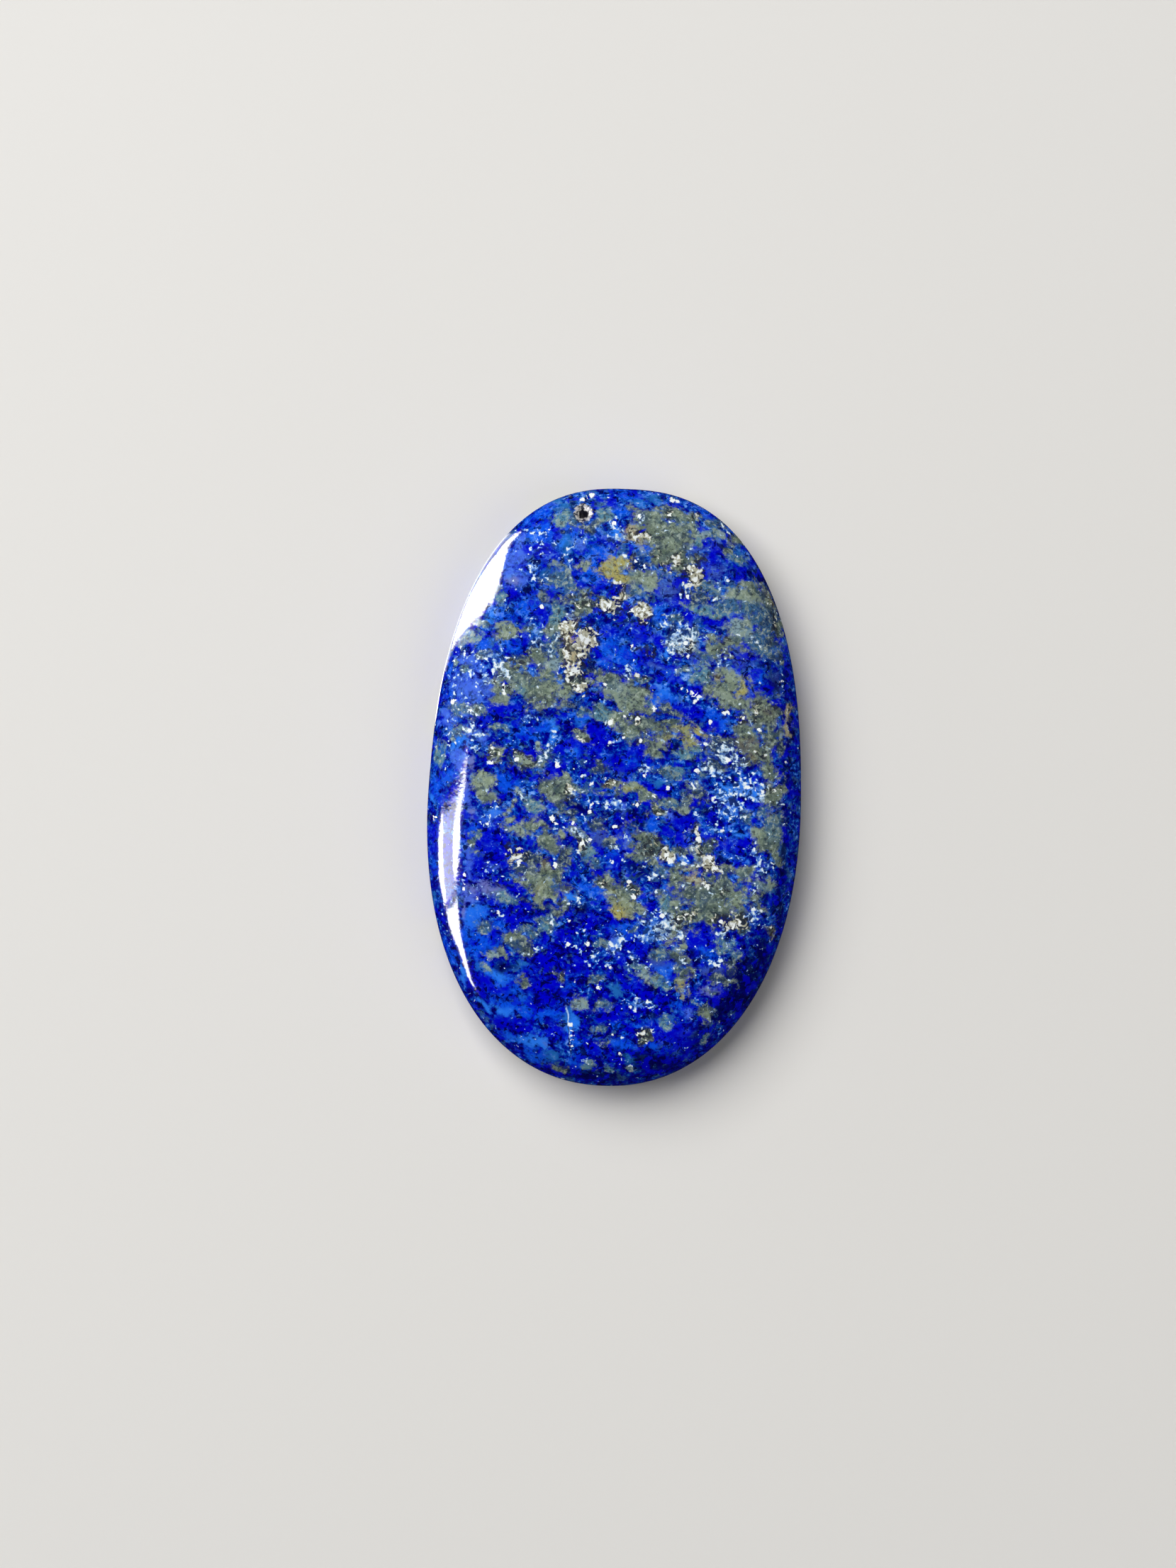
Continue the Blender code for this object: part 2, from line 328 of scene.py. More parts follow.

# Where the blue changes: across, along, width, height and, if it isn't the usual one, lean.
# Some of them are painted shade and painted sheen, as noted at their lists.
blues = {
    "deep": [
        (-4.6, 16.9, 0.9, 0.7), (-5.2, 15.5, 2.0, 1.4), (-7.4, 12.9, 1.3, 0.9), (-5.3, 11.3, 1.2, 0.8),
        (-1.0, 16.5, 1.3, 0.9), (-1.4, 19.2, 1.4, 0.5), (-1.0, 10.5, 1.6, 0.9), (-2.9, 13.6, 0.8, 0.6),
        (-1.6, 13.6, 1.0, 0.5), (-6.6, 15.7, 0.9, 0.7), (-6.2, 12.7, 0.9, 0.6), (5.9, 15.6, 1.4, 1.2),
        (4.0, 12.8, 1.6, 1.6), (1.2, 10.4, 2.2, 1.0), (2.6, 9.8, 1.1, 0.9), (8.5, 15.5, 0.8, 1.0),
        (6.8, 16.9, 0.9, 0.7), (6.2, 11.4, 2.6, 0.7), (7.6, 14.5, 1.6, 0.7), (5.4, 14.6, 0.9, 0.7),
        (9.2, 11.4, 0.6, 0.5), (4.6, 11.8, 1.0, 0.6), (-7.3, 5.1, 3.0, 0.7), (-8.3, 4.7, 1.4, 0.7),
        (-1.2, 3.2, 1.6, 1.2), (-1.7, 2.4, 1.0, 0.7), (1.6, 9.0, 1.2, 0.7), (8.7, 7.8, 1.0, 1.0),
        (9.2, 6.8, 1.0, 0.8), (4.7, 5.2, 1.6, 0.9), (4.0, 5.9, 0.9, 0.6), (6.6, 4.3, 0.9, 0.6),
        (0.4, 1.5, 1.7, 1.2), (1.4, 2.4, 1.2, 0.9), (2.1, 0.1, 1.0, 0.6), (6.0, 3.1, 0.8, 0.8),
        (-8.4, -3.8, 2.4, 2.6), (-12.0, -4.3, 0.7, 2.4, 0), (-6.9, 0.0, 0.7, 0.6), (-8.0, -8.2, 1.6, 0.8),
        (-6.2, -9.0, 1.8, 1.0), (-1.4, -9.0, 1.8, 1.1), (-8.9, -5.4, 1.8, 1.4), (4.6, -2.3, 1.6, 1.6),
        (4.8, -3.4, 1.0, 0.8), (9.4, -0.9, 1.2, 0.7), (7.3, -3.5, 1.6, 0.8), (8.7, -3.5, 1.6, 0.9),
        (0.3, -5.3, 1.2, 0.8), (2.7, -7.9, 0.8, 0.8), (6.3, -9.9, 2.2, 1.4), (-3.8, -11.8, 2.2, 2.4),
        (-4.4, -13.8, 2.4, 1.8), (-2.0, -11.9, 1.3, 1.6), (-7.9, -10.3, 0.9, 0.8),
        (-7.7, -14.0, 2.2, 0.9), (-9.2, -13.6, 0.8, 0.9), (-6.8, -16.1, 1.8, 0.7),
        (-3.3, -16.5, 1.4, 1.2), (-0.8, -17.7, 1.2, 1.0), (2.2, -10.7, 1.0, 1.4), (0.9, -12.4, 0.9, 0.9),
        (0.7, -15.1, 1.6, 1.0), (3.8, -14.0, 0.9, 0.6), (4.8, -16.5, 3.4, 1.8), (2.4, -9.0, 0.9, 0.6),
        (-2.6, -14.3, 1.0, 0.9), (-5.9, -16.1, 0.9, 0.7), (1.9, -13.4, 0.9, 0.6), (-4.4, 0.9, 0.9, 0.6),
        (-3.4, -7.0, 0.7, 0.6), (-7.6, -5.0, 0.9, 0.9), (5.9, -10.6, 0.7, 0.8), (-5.2, -12.4, 1.0, 0.6),
        (0.8, -11.5, 0.8, 0.6), (5.4, -4.0, 0.5, 0.7), (2.5, 8.6, 1.0, 0.5), (-3.3, 2.9, 0.7, 0.5),
    ],
    "navy": [
        # Long thin ones along the right edge and strips along the lower end are painted shade.
        (-4.6, 12.8, 1.6, 0.6), (-1.8, 12.1, 0.5, 0.9), (-5.6, 11.9, 0.9, 0.5), (-2.0, 11.2, 1.0, 0.4),
        (-3.9, 11.6, 0.4, 0.9), (-2.2, 19.0, 0.6, 0.6), (-3.7, 18.9, 0.5, 0.6), (-8.4, 10.0, 0.8, 0.4),
        (-3.2, 11.2, 0.6, 0.5), (-6.8, 10.8, 1.0, 0.4), (8.7, 14.9, 1.2, 0.8), (7.6, 15.0, 1.4, 0.5),
        (6.3, 11.1, 2.6, 0.4), (0.6, 11.1, 1.4, 0.5), (1.0, 15.0, 1.6, 0.9), (3.8, 14.2, 0.5, 0.8, -30),
        (9.3, 14.4, 0.8, 1.4, 25), (4.7, 15.7, 0.7, 0.5), (10.8, 12.0, 0.5, 3.0, 20),
        (10.2, 13.6, 0.5, 1.6, 30), (1.9, 12.8, 0.9, 0.6), (3.2, 10.8, 0.5, 0.8), (1.7, 11.3, 0.9, 0.5),
        (5.0, 14.0, 0.6, 0.6), (9.0, 16.0, 0.5, 1.2, 40), (4.8, 10.8, 0.6, 0.6), (-1.9, 7.8, 0.5, 1.4, 0),
        (-3.4, 6.8, 0.5, 0.9, 0), (-3.3, 5.6, 1.2, 0.5), (-5.1, 4.7, 0.9, 0.5), (-5.7, 9.3, 0.8, 0.9),
        (-7.3, 1.6, 0.5, 0.7), (-6.1, 0.6, 0.7, 0.5), (-1.8, 0.7, 0.6, 0.5), (8.2, 9.9, 1.0, 0.4),
        (9.8, 8.6, 0.9, 0.7), (11.1, 8.4, 0.5, 2.6, 5), (10.5, 7.4, 0.8, 2.0, 0), (6.1, 6.8, 0.9, 0.8),
        (3.9, 2.8, 1.1, 0.7), (5.2, 2.1, 0.6, 0.7), (9.0, 1.9, 0.7, 0.8), (11.4, 1.4, 0.6, 1.6, 0),
        (-2.3, -1.6, 0.9, 0.8), (-0.6, -1.9, 0.7, 0.5), (-6.5, -4.9, 0.5, 0.4), (-7.4, -6.9, 0.9, 0.4),
        (-5.0, -8.3, 2.0, 0.5), (-1.9, -8.1, 0.9, 0.4), (-3.1, -10.0, 0.7, 0.5), (6.2, -1.4, 1.0, 0.7),
        (11.0, -0.7, 1.1, 0.8), (1.4, -2.1, 2.0, 1.1), (7.5, -4.4, 0.8, 0.4), (1.8, -5.5, 1.6, 1.0),
        (10.0, -7.4, 0.8, 1.4, 0), (-7.0, -12.5, 1.4, 0.6), (-1.5, -15.5, 0.7, 0.6),
        (-1.6, -19.5, 2.8, 0.4), (5.6, -10.9, 0.7, 0.5), (9.1, -12.5, 2.4, 3.2, 20),
        (10.3, -10.8, 0.8, 2.4, 15), (3.0, -15.1, 1.2, 0.5), (6.3, -16.1, 1.6, 0.8, 30),
        (3.0, -18.3, 3.8, 1.2), (0.2, -19.4, 3.0, 0.5), (8.6, -14.0, 1.4, 1.6, 30),
        (11.5, -4.0, 0.6, 5.0, 0), (11.3, -7.6, 0.6, 3.4, 10), (7.8, -14.6, 1.4, 0.9),
        (11.7, 4.0, 0.4, 5.0, 0), (5.4, 9.0, 1.2, 0.4), (-8.6, -1.6, 0.7, 0.5), (-3.0, -1.2, 0.6, 0.4),
        (-0.9, 5.0, 0.8, 0.3), (7.9, 1.0, 0.6, 0.5), (5.2, -9.2, 0.9, 0.4), (0.3, 7.4, 0.8, 0.3),
        (7.4, -14.9, 1.6, 0.6), (5.9, -17.3, 1.6, 0.5, 35),
    ],
    "azure": [
        (-6.2, 18.1, 2.8, 0.8, 35), (-5.5, 17.3, 1.8, 1.2), (-6.0, 16.6, 1.6, 0.9),
        (-3.6, 17.2, 1.0, 1.2), (-6.2, 14.4, 1.5, 0.8), (-8.2, 11.9, 0.8, 0.6), (-7.3, 11.2, 1.6, 0.8),
        (-6.4, 12.0, 1.4, 0.9), (-1.7, 15.8, 1.7, 0.9), (-2.3, 14.7, 1.4, 1.0), (-0.5, 18.7, 1.0, 0.8),
        (-0.6, 9.8, 1.0, 0.9), (-1.9, 14.0, 1.6, 0.7), (0.2, 19.7, 1.8, 0.5), (-4.9, 13.2, 0.9, 0.6),
        (5.4, 18.6, 1.4, 0.6, -30), (3.0, 19.1, 0.9, 0.5), (2.6, 11.7, 1.4, 0.9), (1.3, 16.2, 1.0, 0.6),
        (7.2, 17.9, 0.8, 0.4, -45), (-1.0, 9.3, 1.2, 1.2), (0.1, 9.2, 1.2, 0.9), (-1.1, 8.3, 1.3, 0.7),
        (-7.1, 9.1, 1.4, 0.8), (-9.2, 9.2, 1.0, 0.6), (-11.4, 7.5, 0.7, 1.6, 10),
        (-11.6, 5.9, 0.6, 1.0, 0), (-2.7, 4.5, 1.6, 0.9), (-6.2, 3.4, 1.5, 0.9), (-2.8, 2.4, 1.1, 0.8),
        (-11.5, 0.4, 1.2, 1.6, 0), (-7.4, 0.4, 1.6, 1.2), (-6.6, 0.0, 0.8, 0.6), (0.3, 8.6, 1.6, 1.1),
        (2.9, 7.8, 1.6, 0.8), (3.0, 6.2, 1.5, 1.1), (9.6, 7.6, 0.9, 1.3), (6.3, 4.9, 1.4, 0.9),
        (6.7, 3.7, 1.0, 0.7), (1.0, 1.8, 0.9, 0.6), (2.3, 1.5, 1.3, 0.7), (7.2, 4.5, 0.9, 0.6),
        (-12.0, -0.6, 0.9, 2.0, 0), (-7.4, -0.3, 0.9, 0.7), (-9.5, -3.3, 0.9, 0.6),
        (-11.8, -6.2, 0.7, 1.6, 10), (-9.2, -9.2, 1.5, 1.8), (-8.6, -10.8, 2.1, 2.0),
        (-1.9, -6.9, 1.5, 0.9), (-0.8, -7.0, 0.9, 0.7), (-7.3, -9.7, 1.0, 0.7), (2.6, -2.3, 1.0, 0.8),
        (-0.2, -3.5, 0.9, 0.9), (0.1, -4.6, 1.0, 0.7), (3.8, -6.6, 0.9, 0.9), (1.0, -9.6, 2.0, 1.1),
        (-9.9, -10.4, 1.0, 1.6, 20), (-8.5, -12.2, 1.2, 0.7), (-7.3, -13.2, 2.4, 0.7),
        (-6.2, -13.8, 1.2, 0.6), (-6.8, -14.9, 2.0, 1.2), (-5.8, -14.6, 1.6, 1.0),
        (-4.7, -15.3, 1.8, 0.8), (-6.2, -17.1, 1.8, 0.9), (-5.0, -17.8, 1.4, 0.8),
        (-4.4, -18.5, 1.6, 0.7, -30), (-1.6, -17.6, 0.8, 1.2, 0), (-1.8, -18.7, 1.2, 0.6),
        (4.8, -14.5, 1.2, 0.7), (0.9, -16.0, 1.0, 0.5), (1.2, -17.2, 2.0, 1.0), (3.5, -17.4, 1.6, 0.6),
        (1.3, -10.3, 1.0, 0.6), (-2.6, -13.5, 0.7, 0.7), (3.7, -12.0, 1.4, 1.0), (6.6, -10.8, 1.1, 1.2),
        (-3.4, -15.3, 1.2, 0.6), (8.4, -4.4, 1.4, 0.6, -20), (7.8, -1.2, 1.0, 0.9),
        (-10.9, -11.4, 0.7, 1.8, 25), (4.7, -4.7, 0.9, 0.8), (2.4, -16.0, 0.9, 0.4),
        (-2.2, 6.0, 0.9, 0.6), (-5.0, 3.9, 1.0, 0.6),
    ],
    "sky": [
        # The thin ones that lie along the lower-left outline are painted sheen.
        (-7.4, -12.9, 1.8, 0.9), (-5.9, -17.2, 1.8, 0.7), (-4.4, -17.4, 1.8, 0.9), (-9.2, -9.2, 1.5, 2.0),
        (-7.1, -15.3, 1.8, 0.7), (-2.3, -15.8, 0.7, 2.2, 8), (3.0, 6.3, 1.1, 0.9), (-0.6, 17.1, 0.6, 0.8),
        (-6.0, 16.4, 0.5, 0.4), (-4.2, 16.2, 0.4, 0.9), (-8.9, 11.0, 0.9, 0.5), (2.5, 11.8, 0.7, 0.6),
        (0.6, 19.3, 0.9, 0.4), (-0.9, 9.2, 0.6, 0.6), (3.0, 6.4, 0.8, 0.5), (-2.8, 2.5, 0.5, 0.4),
        (-3.8, 4.3, 0.8, 0.5), (-4.4, 3.4, 0.4, 1.6, 0), (-8.2, -2.2, 1.0, 1.0), (-9.3, -9.1, 0.7, 1.0),
        (7.8, -1.3, 1.1, 1.1), (7.0, -2.7, 1.1, 0.7), (8.5, -2.9, 1.2, 0.4), (8.5, -4.4, 1.3, 0.5, -20),
        (4.8, -4.7, 0.6, 0.6), (2.8, -9.6, 1.2, 1.2), (-7.2, -13.1, 1.6, 0.4),
        (-9.8, -12.8, 0.6, 1.4, 30), (-8.2, -15.0, 1.8, 0.4, -40), (-4.2, -17.4, 1.4, 0.5),
        (3.7, -12.1, 0.9, 0.6), (8.6, 0.2, 2.0, 0.8), (7.4, -0.2, 1.4, 0.7), (-1.2, 5.5, 0.5, 0.5),
        (-12.4, -1.3, 0.3, 0.9, 0), (-10.8, 2.7, 1.4, 1.4, 0), (3.2, 9.3, 0.4, 0.9, 0),
        (-2.6, -7.4, 0.7, 0.7), (3.5, -6.5, 0.5, 0.5), (9.7, -0.1, 0.8, 1.0),
    ],
    "lavender": [
        # Those from across -6.9 to the left edge are lavender in the blue and partly painted sheen.
        (-7.2, 16.3, 0.9, 1.4, -30), (-7.4, 15.0, 1.4, 2.4, -15), (-2.95, 16.1, 0.4, 0.9, 0),
        (-6.9, 13.8, 0.9, 0.9), (-9.9, 6.4, 2.8, 1.8), (-10.4, 8.3, 1.6, 0.9), (-11.3, 6.8, 0.8, 0.8),
        (-11.5, 4.2, 0.9, 1.2), (-9.2, 3.2, 1.4, 0.8), (-10.6, 1.8, 1.2, 0.9, 0), (-10.5, 1.2, 0.8, 0.9),
        (-9.8, -1.0, 0.6, 2.2, 0), (-10.7, 4.9, 1.4, 0.9), (3.7, -1.6, 0.9, 0.6), (-8.2, -2.3, 0.9, 0.9),
        (0.7, -3.7, 0.5, 1.6, 0), (-9.5, -7.7, 1.4, 1.0), (0.4, -10.5, 1.0, 1.2), (11.2, -0.5, 0.6, 0.5),
        (-8.0, -5.6, 1.2, 0.5), (5.5, -14.9, 0.9, 0.5), (-3.4, 12.9, 0.4, 0.4), (0.6, -1.4, 0.5, 0.7),
        (6.4, 2.4, 0.6, 0.5), (-9.6, -5.2, 0.5, 2.4, 0),
    ],
    "dusk": [
        (4.6, 16.5, 1.8, 1.2), (3.0, 13.5, 2.4, 1.5), (5.9, 14.8, 1.8, 1.2), (7.0, 12.2, 3.2, 1.0),
        (8.3, 9.2, 2.0, 1.8), (5.4, 9.0, 2.2, 1.0), (8.4, 6.5, 1.2, 1.0), (10.6, 7.6, 0.7, 1.4, 0),
        (2.4, 8.2, 1.4, 0.6), (7.3, -12.0, 1.4, 0.8), (-4.8, 12.6, 1.6, 1.0), (0.4, 13.2, 1.8, 0.8),
        (6.2, 16.4, 1.2, 0.8), (-1.0, -3.2, 1.4, 1.2), (4.4, -6.9, 1.0, 1.6), (3.4, -11.6, 1.6, 1.2),
    ],
    "hazeAndSheen": [
        # Those at the left, beside the reflections of the cards, are painted sheen; the other two are pale
        # haze.
        (-7.4, 13.6, 0.8, 0.5), (-8.1, -7.2, 2.6, 0.8), (-9.4, -7.5, 1.3, 1.1), (-9.7, -2.1, 0.8, 0.6),
        (-10.0, -0.2, 0.4, 1.6, 0), (-4.1, -17.4, 0.9, 0.3), (-9.7, 1.2, 0.5, 0.9, 0),
        (7.0, -13.4, 1.2, 0.8), (-9.8, -8.6, 0.5, 1.0, 0),
    ],
    "turquoise": [
        (-4.5, 19.1, 1.6, 0.6), (-3.9, 16.0, 0.8, 1.6, 0), (-5.5, 14.2, 1.2, 0.8), (0.5, 19.3, 1.3, 0.6),
        (1.7, 19.5, 1.2, 0.5), (7.6, 15.9, 1.4, 0.7), (-11.9, 1.7, 0.8, 1.6, 0), (-2.7, 4.4, 1.3, 0.6),
        (4.8, 3.0, 0.9, 0.6), (2.8, 0.4, 0.9, 0.5), (3.8, -7.3, 0.9, 1.2), (-5.8, -14.5, 1.2, 0.8),
        (-2.5, -15.2, 0.8, 1.4, 0), (-3.6, -18.2, 1.2, 0.7), (0.6, -13.4, 1.1, 1.0),
        (-5.6, -12.2, 1.2, 0.6), (-8.6, -12.3, 0.9, 0.6), (4.2, -15.6, 1.2, 0.6),
        (-12.1, -8.0, 0.4, 1.2, 10), (1.5, -18.2, 1.2, 0.6),
    ],
}

# The greenish and brown minerals that lie in the blue, in the same order of numbers.
minerals = {
    "olive": [
        (2.6, 16.8, 3.2, 2.6), (3.7, 15.6, 2.2, 1.4, -40), (2.2, 17.9, 3.2, 1.3), (-5.4, 6.3, 3.8, 2.2),
        (-7.8, 6.1, 1.7, 1.5), (0.4, 6.4, 2.5, 1.6), (2.2, 4.2, 4.6, 1.3, -8), (7.0, 7.0, 1.9, 1.7),
        (9.8, 5.3, 2.3, 2.0), (9.6, 3.1, 2.4, 1.9), (-3.9, -0.2, 2.6, 1.6), (1.9, -0.5, 3.0, 0.7, -15),
        (2.3, -3.8, 2.8, 1.6, -20), (-5.6, -3.0, 2.4, 0.7, 5), (-4.6, -7.0, 2.8, 1.7, -15),
        (0.8, -7.4, 3.0, 1.3, -35), (6.9, -7.2, 5.0, 3.2), (4.8, -8.2, 2.2, 1.5), (10.2, -2.9, 1.8, 1.4),
        (10.6, -0.1, 1.1, 1.6, 0), (-2.8, 12.3, 1.6, 1.3), (-4.5, 10.6, 1.0, 0.8), (-1.5, 12.8, 0.9, 0.5),
        (3.3, 18.4, 2.6, 1.0), (1.9, 17.6, 2.6, 1.1), (2.7, 16.4, 2.6, 2.2), (3.2, 15.4, 1.6, 1.0),
        (8.6, 13.8, 1.4, 0.9), (7.6, 10.1, 1.6, 0.9), (6.6, 10.1, 1.3, 0.9), (7.3, 17.0, 0.9, 0.7),
        (1.0, 14.0, 1.8, 1.2), (4.4, 14.9, 1.0, 1.2, -40), (10.6, 11.2, 0.5, 1.2, 10),
        (-7.7, 9.7, 1.3, 0.5), (-5.5, 8.6, 1.4, 0.7), (-7.3, 7.5, 1.6, 1.0), (-4.8, 7.4, 1.5, 0.9),
        (-8.3, 5.8, 0.7, 0.9, 0), (-2.2, 7.0, 1.6, 0.5), (-1.1, 7.3, 1.7, 0.8), (-5.4, 5.3, 1.6, 0.6),
        (6.5, 9.7, 1.6, 1.1), (1.2, 6.2, 1.5, 1.4), (1.3, 5.3, 2.2, 0.9), (0.6, 4.1, 1.7, 0.9),
        (2.4, 3.1, 1.7, 1.0), (2.7, 2.5, 1.0, 0.7), (7.9, 5.8, 1.5, 0.9), (8.5, 4.1, 1.5, 1.1),
        (10.4, 1.5, 1.0, 1.4, 20), (11.2, 0.5, 0.8, 0.7), (-8.5, -1.0, 0.9, 0.6), (-7.2, -1.5, 1.0, 0.6),
        (-4.2, -0.6, 1.9, 1.2), (-4.2, -3.9, 1.7, 1.3, -35), (-9.5, -4.1, 0.7, 1.0),
        (-5.2, -6.6, 1.7, 0.9), (-3.7, -6.0, 1.4, 0.8), (-6.2, -10.3, 1.3, 0.8),
        (-0.6, -6.4, 1.4, 0.7, -40), (2.2, -0.6, 1.8, 0.5), (2.9, -1.5, 1.2, 0.7), (10.7, -4.2, 1.1, 0.8),
        (2.1, -3.6, 2.4, 1.4), (1.6, -4.5, 1.1, 0.7), (8.9, -5.6, 1.0, 1.0), (4.3, -6.0, 1.4, 0.9),
        (8.4, -7.4, 1.9, 1.2), (8.9, -6.5, 0.9, 0.7), (5.4, -8.2, 1.7, 1.2), (-7.1, -11.5, 0.9, 0.7),
        (-5.6, -13.4, 0.8, 0.7), (-3.2, -12.9, 0.7, 0.5), (5.3, -12.2, 0.9, 1.6, 0),
        (6.9, -15.2, 1.2, 1.1), (10.5, -3.2, 1.3, 1.2), (9.9, 6.0, 1.6, 0.6), (4.7, -10.9, 1.0, 0.8),
        (7.0, 16.2, 0.6, 0.4), (9.5, 13.0, 0.7, 0.9, 20), (6.9, 6.0, 0.7, 0.4), (-4.0, 8.9, 0.5, 0.9, 0),
        (0.0, 5.0, 1.3, 0.8),
    ],
    "oliveDark": [
        (1.6, 18.1, 1.2, 0.6), (3.5, 17.0, 1.2, 0.8), (2.9, 15.8, 1.6, 0.8), (4.0, 15.6, 0.9, 0.7),
        (2.4, 17.1, 1.0, 0.6), (-5.3, 5.8, 2.2, 0.6), (2.0, 4.4, 3.2, 0.9), (3.7, 4.5, 1.6, 0.5),
        (10.3, 4.0, 1.4, 1.6), (-4.4, -0.1, 1.4, 1.0), (-3.3, -7.8, 1.0, 0.6), (-3.0, -8.1, 0.8, 0.5),
        (7.7, -5.2, 1.2, 0.6), (6.5, -3.6, 1.0, 0.7), (4.5, -5.3, 0.9, 0.6), (5.3, -7.0, 1.8, 1.4),
        (7.0, -8.2, 2.0, 1.3), (1.4, -6.8, 1.0, 0.9), (4.6, -11.2, 1.2, 0.8), (2.7, -16.7, 1.1, 0.9),
        (2.8, -4.8, 1.4, 0.7), (7.6, -5.9, 1.9, 1.2), (-7.6, -11.0, 0.9, 0.4), (10.6, 5.4, 0.9, 0.8),
        (-3.1, -19.0, 1.1, 0.5), (6.6, -7.4, 3.4, 1.8), (6.8, -5.9, 0.9, 0.6), (-5.6, -11.2, 1.0, 0.8),
        (0.1, -0.4, 0.6, 0.4),
    ],
    "olivePale": [
        (-7.5, 10.35, 1.8, 0.6), (-2.85, 14.8, 0.6, 0.6), (4.2, 17.6, 1.5, 0.6), (1.2, 14.1, 2.0, 1.0),
        (7.6, 13.3, 1.8, 1.0), (8.5, 13.6, 1.7, 1.1), (8.6, 11.4, 0.8, 0.5), (5.9, 9.8, 0.9, 0.5),
        (-7.9, 6.3, 1.5, 1.2), (-5.2, 6.7, 2.7, 1.1), (-4.0, 6.2, 1.1, 1.0), (-0.4, 4.4, 1.1, 0.7),
        (-2.3, 3.5, 0.9, 0.8), (-8.1, 1.9, 1.2, 0.9), (-6.2, 1.6, 1.6, 0.9), (-8.9, 0.0, 1.4, 1.6, 0),
        (-3.4, 0.4, 1.2, 0.5), (7.4, 7.5, 1.7, 1.2), (7.2, 6.6, 0.9, 1.4, 0), (9.6, 2.7, 0.9, 0.9),
        (0.2, 6.0, 1.6, 1.3), (10.9, 0.3, 1.0, 0.8), (-6.0, -2.9, 2.0, 0.5, 8), (-4.9, -2.9, 1.2, 0.8),
        (-3.6, -3.4, 0.7, 0.5), (-4.2, -7.4, 1.6, 0.9), (-5.7, -7.1, 0.8, 0.5), (4.6, -1.2, 0.6, 0.5),
        (9.7, -2.6, 1.3, 0.8), (2.0, -8.2, 0.9, 0.6), (4.2, -9.6, 1.8, 1.5), (4.9, -10.3, 0.9, 0.9),
        (1.3, 0.2, 0.8, 0.4), (8.5, -7.2, 1.2, 1.0), (10.5, -6.1, 1.0, 0.8), (-6.9, -2.4, 0.6, 0.4),
        (5.0, -8.0, 0.7, 0.5),
    ],
    "yellowOlive": [
        (4.3, 3.75, 2.6, 1.0), (3.6, 3.5, 1.3, 0.4), (0.9, -0.1, 1.5, 0.8), (-4.9, -7.1, 1.0, 1.0),
        (0.1, -7.1, 1.0, 0.6), (1.1, -7.8, 2.0, 0.9), (-7.2, -1.5, 0.6, 0.4), (-4.6, -6.7, 1.0, 0.4),
    ],
    "mustard": [
        (-0.2, 15.2, 1.6, 1.0), (-0.8, 14.5, 1.5, 0.9), (-0.1, 13.9, 1.2, 0.7), (8.2, 7.0, 0.5, 0.8, 0),
        (5.2, 3.9, 0.8, 0.6), (0.4, -8.3, 1.0, 0.7), (5.0, -13.3, 0.6, 0.7), (4.0, 4.05, 0.9, 0.2),
    ],
    "umber": [
        (9.9, 13.0, 0.6, 1.6, 25), (4.5, 14.1, 0.8, 0.5), (9.9, 5.5, 2.0, 1.3), (9.1, 3.3, 2.2, 1.3),
        (9.2, 2.3, 0.9, 0.6), (-0.5, 0.2, 0.9, 0.6), (-4.4, -5.5, 1.0, 0.7), (-5.2, 5.9, 1.0, 0.4),
        (10.9, -9.3, 0.5, 0.8, 10), (0.7, 16.6, 0.4, 0.3),
    ],
    "slate": [
        (-4.4, 14.0, 1.5, 1.1), (-3.5, 13.4, 1.2, 0.5), (-3.4, 17.9, 0.7, 0.8), (-9.3, 10.6, 1.3, 0.5),
        (-6.3, 10.4, 0.9, 0.6), (5.7, 18.1, 1.5, 0.7), (0.4, 14.3, 0.8, 0.6), (0.9, 13.1, 1.4, 0.7),
        (5.7, 13.7, 1.8, 0.7), (8.6, 12.5, 1.8, 0.8), (9.6, 10.9, 1.7, 1.3), (6.6, 12.4, 2.0, 0.5),
        (4.9, 10.5, 1.4, 0.6), (5.8, 17.2, 1.4, 0.5), (7.4, 12.5, 1.4, 0.7), (3.6, 11.4, 0.9, 0.5),
        (9.0, 11.8, 1.2, 0.8), (8.9, 10.0, 1.2, 0.8), (-4.7, 9.4, 0.9, 1.2, -50), (-9.5, 8.7, 1.2, 0.6),
        (-10.5, 9.3, 0.8, 0.6), (-10.6, 4.7, 1.7, 0.8), (-9.4, 4.8, 1.0, 0.5), (-11.0, 3.1, 1.0, 0.6),
        (-8.0, 3.6, 1.2, 0.6), (-4.7, 1.9, 1.0, 0.8), (-2.3, 5.0, 1.0, 0.5), (9.6, 9.6, 1.4, 0.9),
        (5.6, 9.2, 1.0, 0.5), (4.6, 7.9, 1.2, 0.5), (3.6, 1.1, 1.9, 0.9), (1.6, 7.3, 1.0, 0.5),
        (-2.3, -0.2, 1.4, 0.6), (-1.0, -0.4, 1.6, 0.5), (-8.2, -9.7, 1.0, 0.8), (-5.3, -9.8, 1.2, 0.8),
        (-1.3, -5.1, 1.0, 0.6), (3.8, -0.8, 1.5, 0.7), (10.8, -1.8, 1.2, 1.1), (8.9, -1.7, 1.0, 0.6),
        (10.0, -1.2, 0.7, 0.6), (1.5, -9.5, 0.7, 0.6), (9.0, -9.3, 0.9, 0.7), (10.3, -6.2, 1.1, 0.7),
        (-0.5, -10.6, 0.9, 0.6), (-0.6, -12.9, 1.0, 0.6), (-0.4, -16.2, 1.0, 0.9), (3.5, -10.9, 1.2, 1.2),
        (8.6, -10.9, 1.2, 0.8), (5.8, -14.0, 1.3, 0.6), (-0.1, -14.6, 0.9, 1.0),
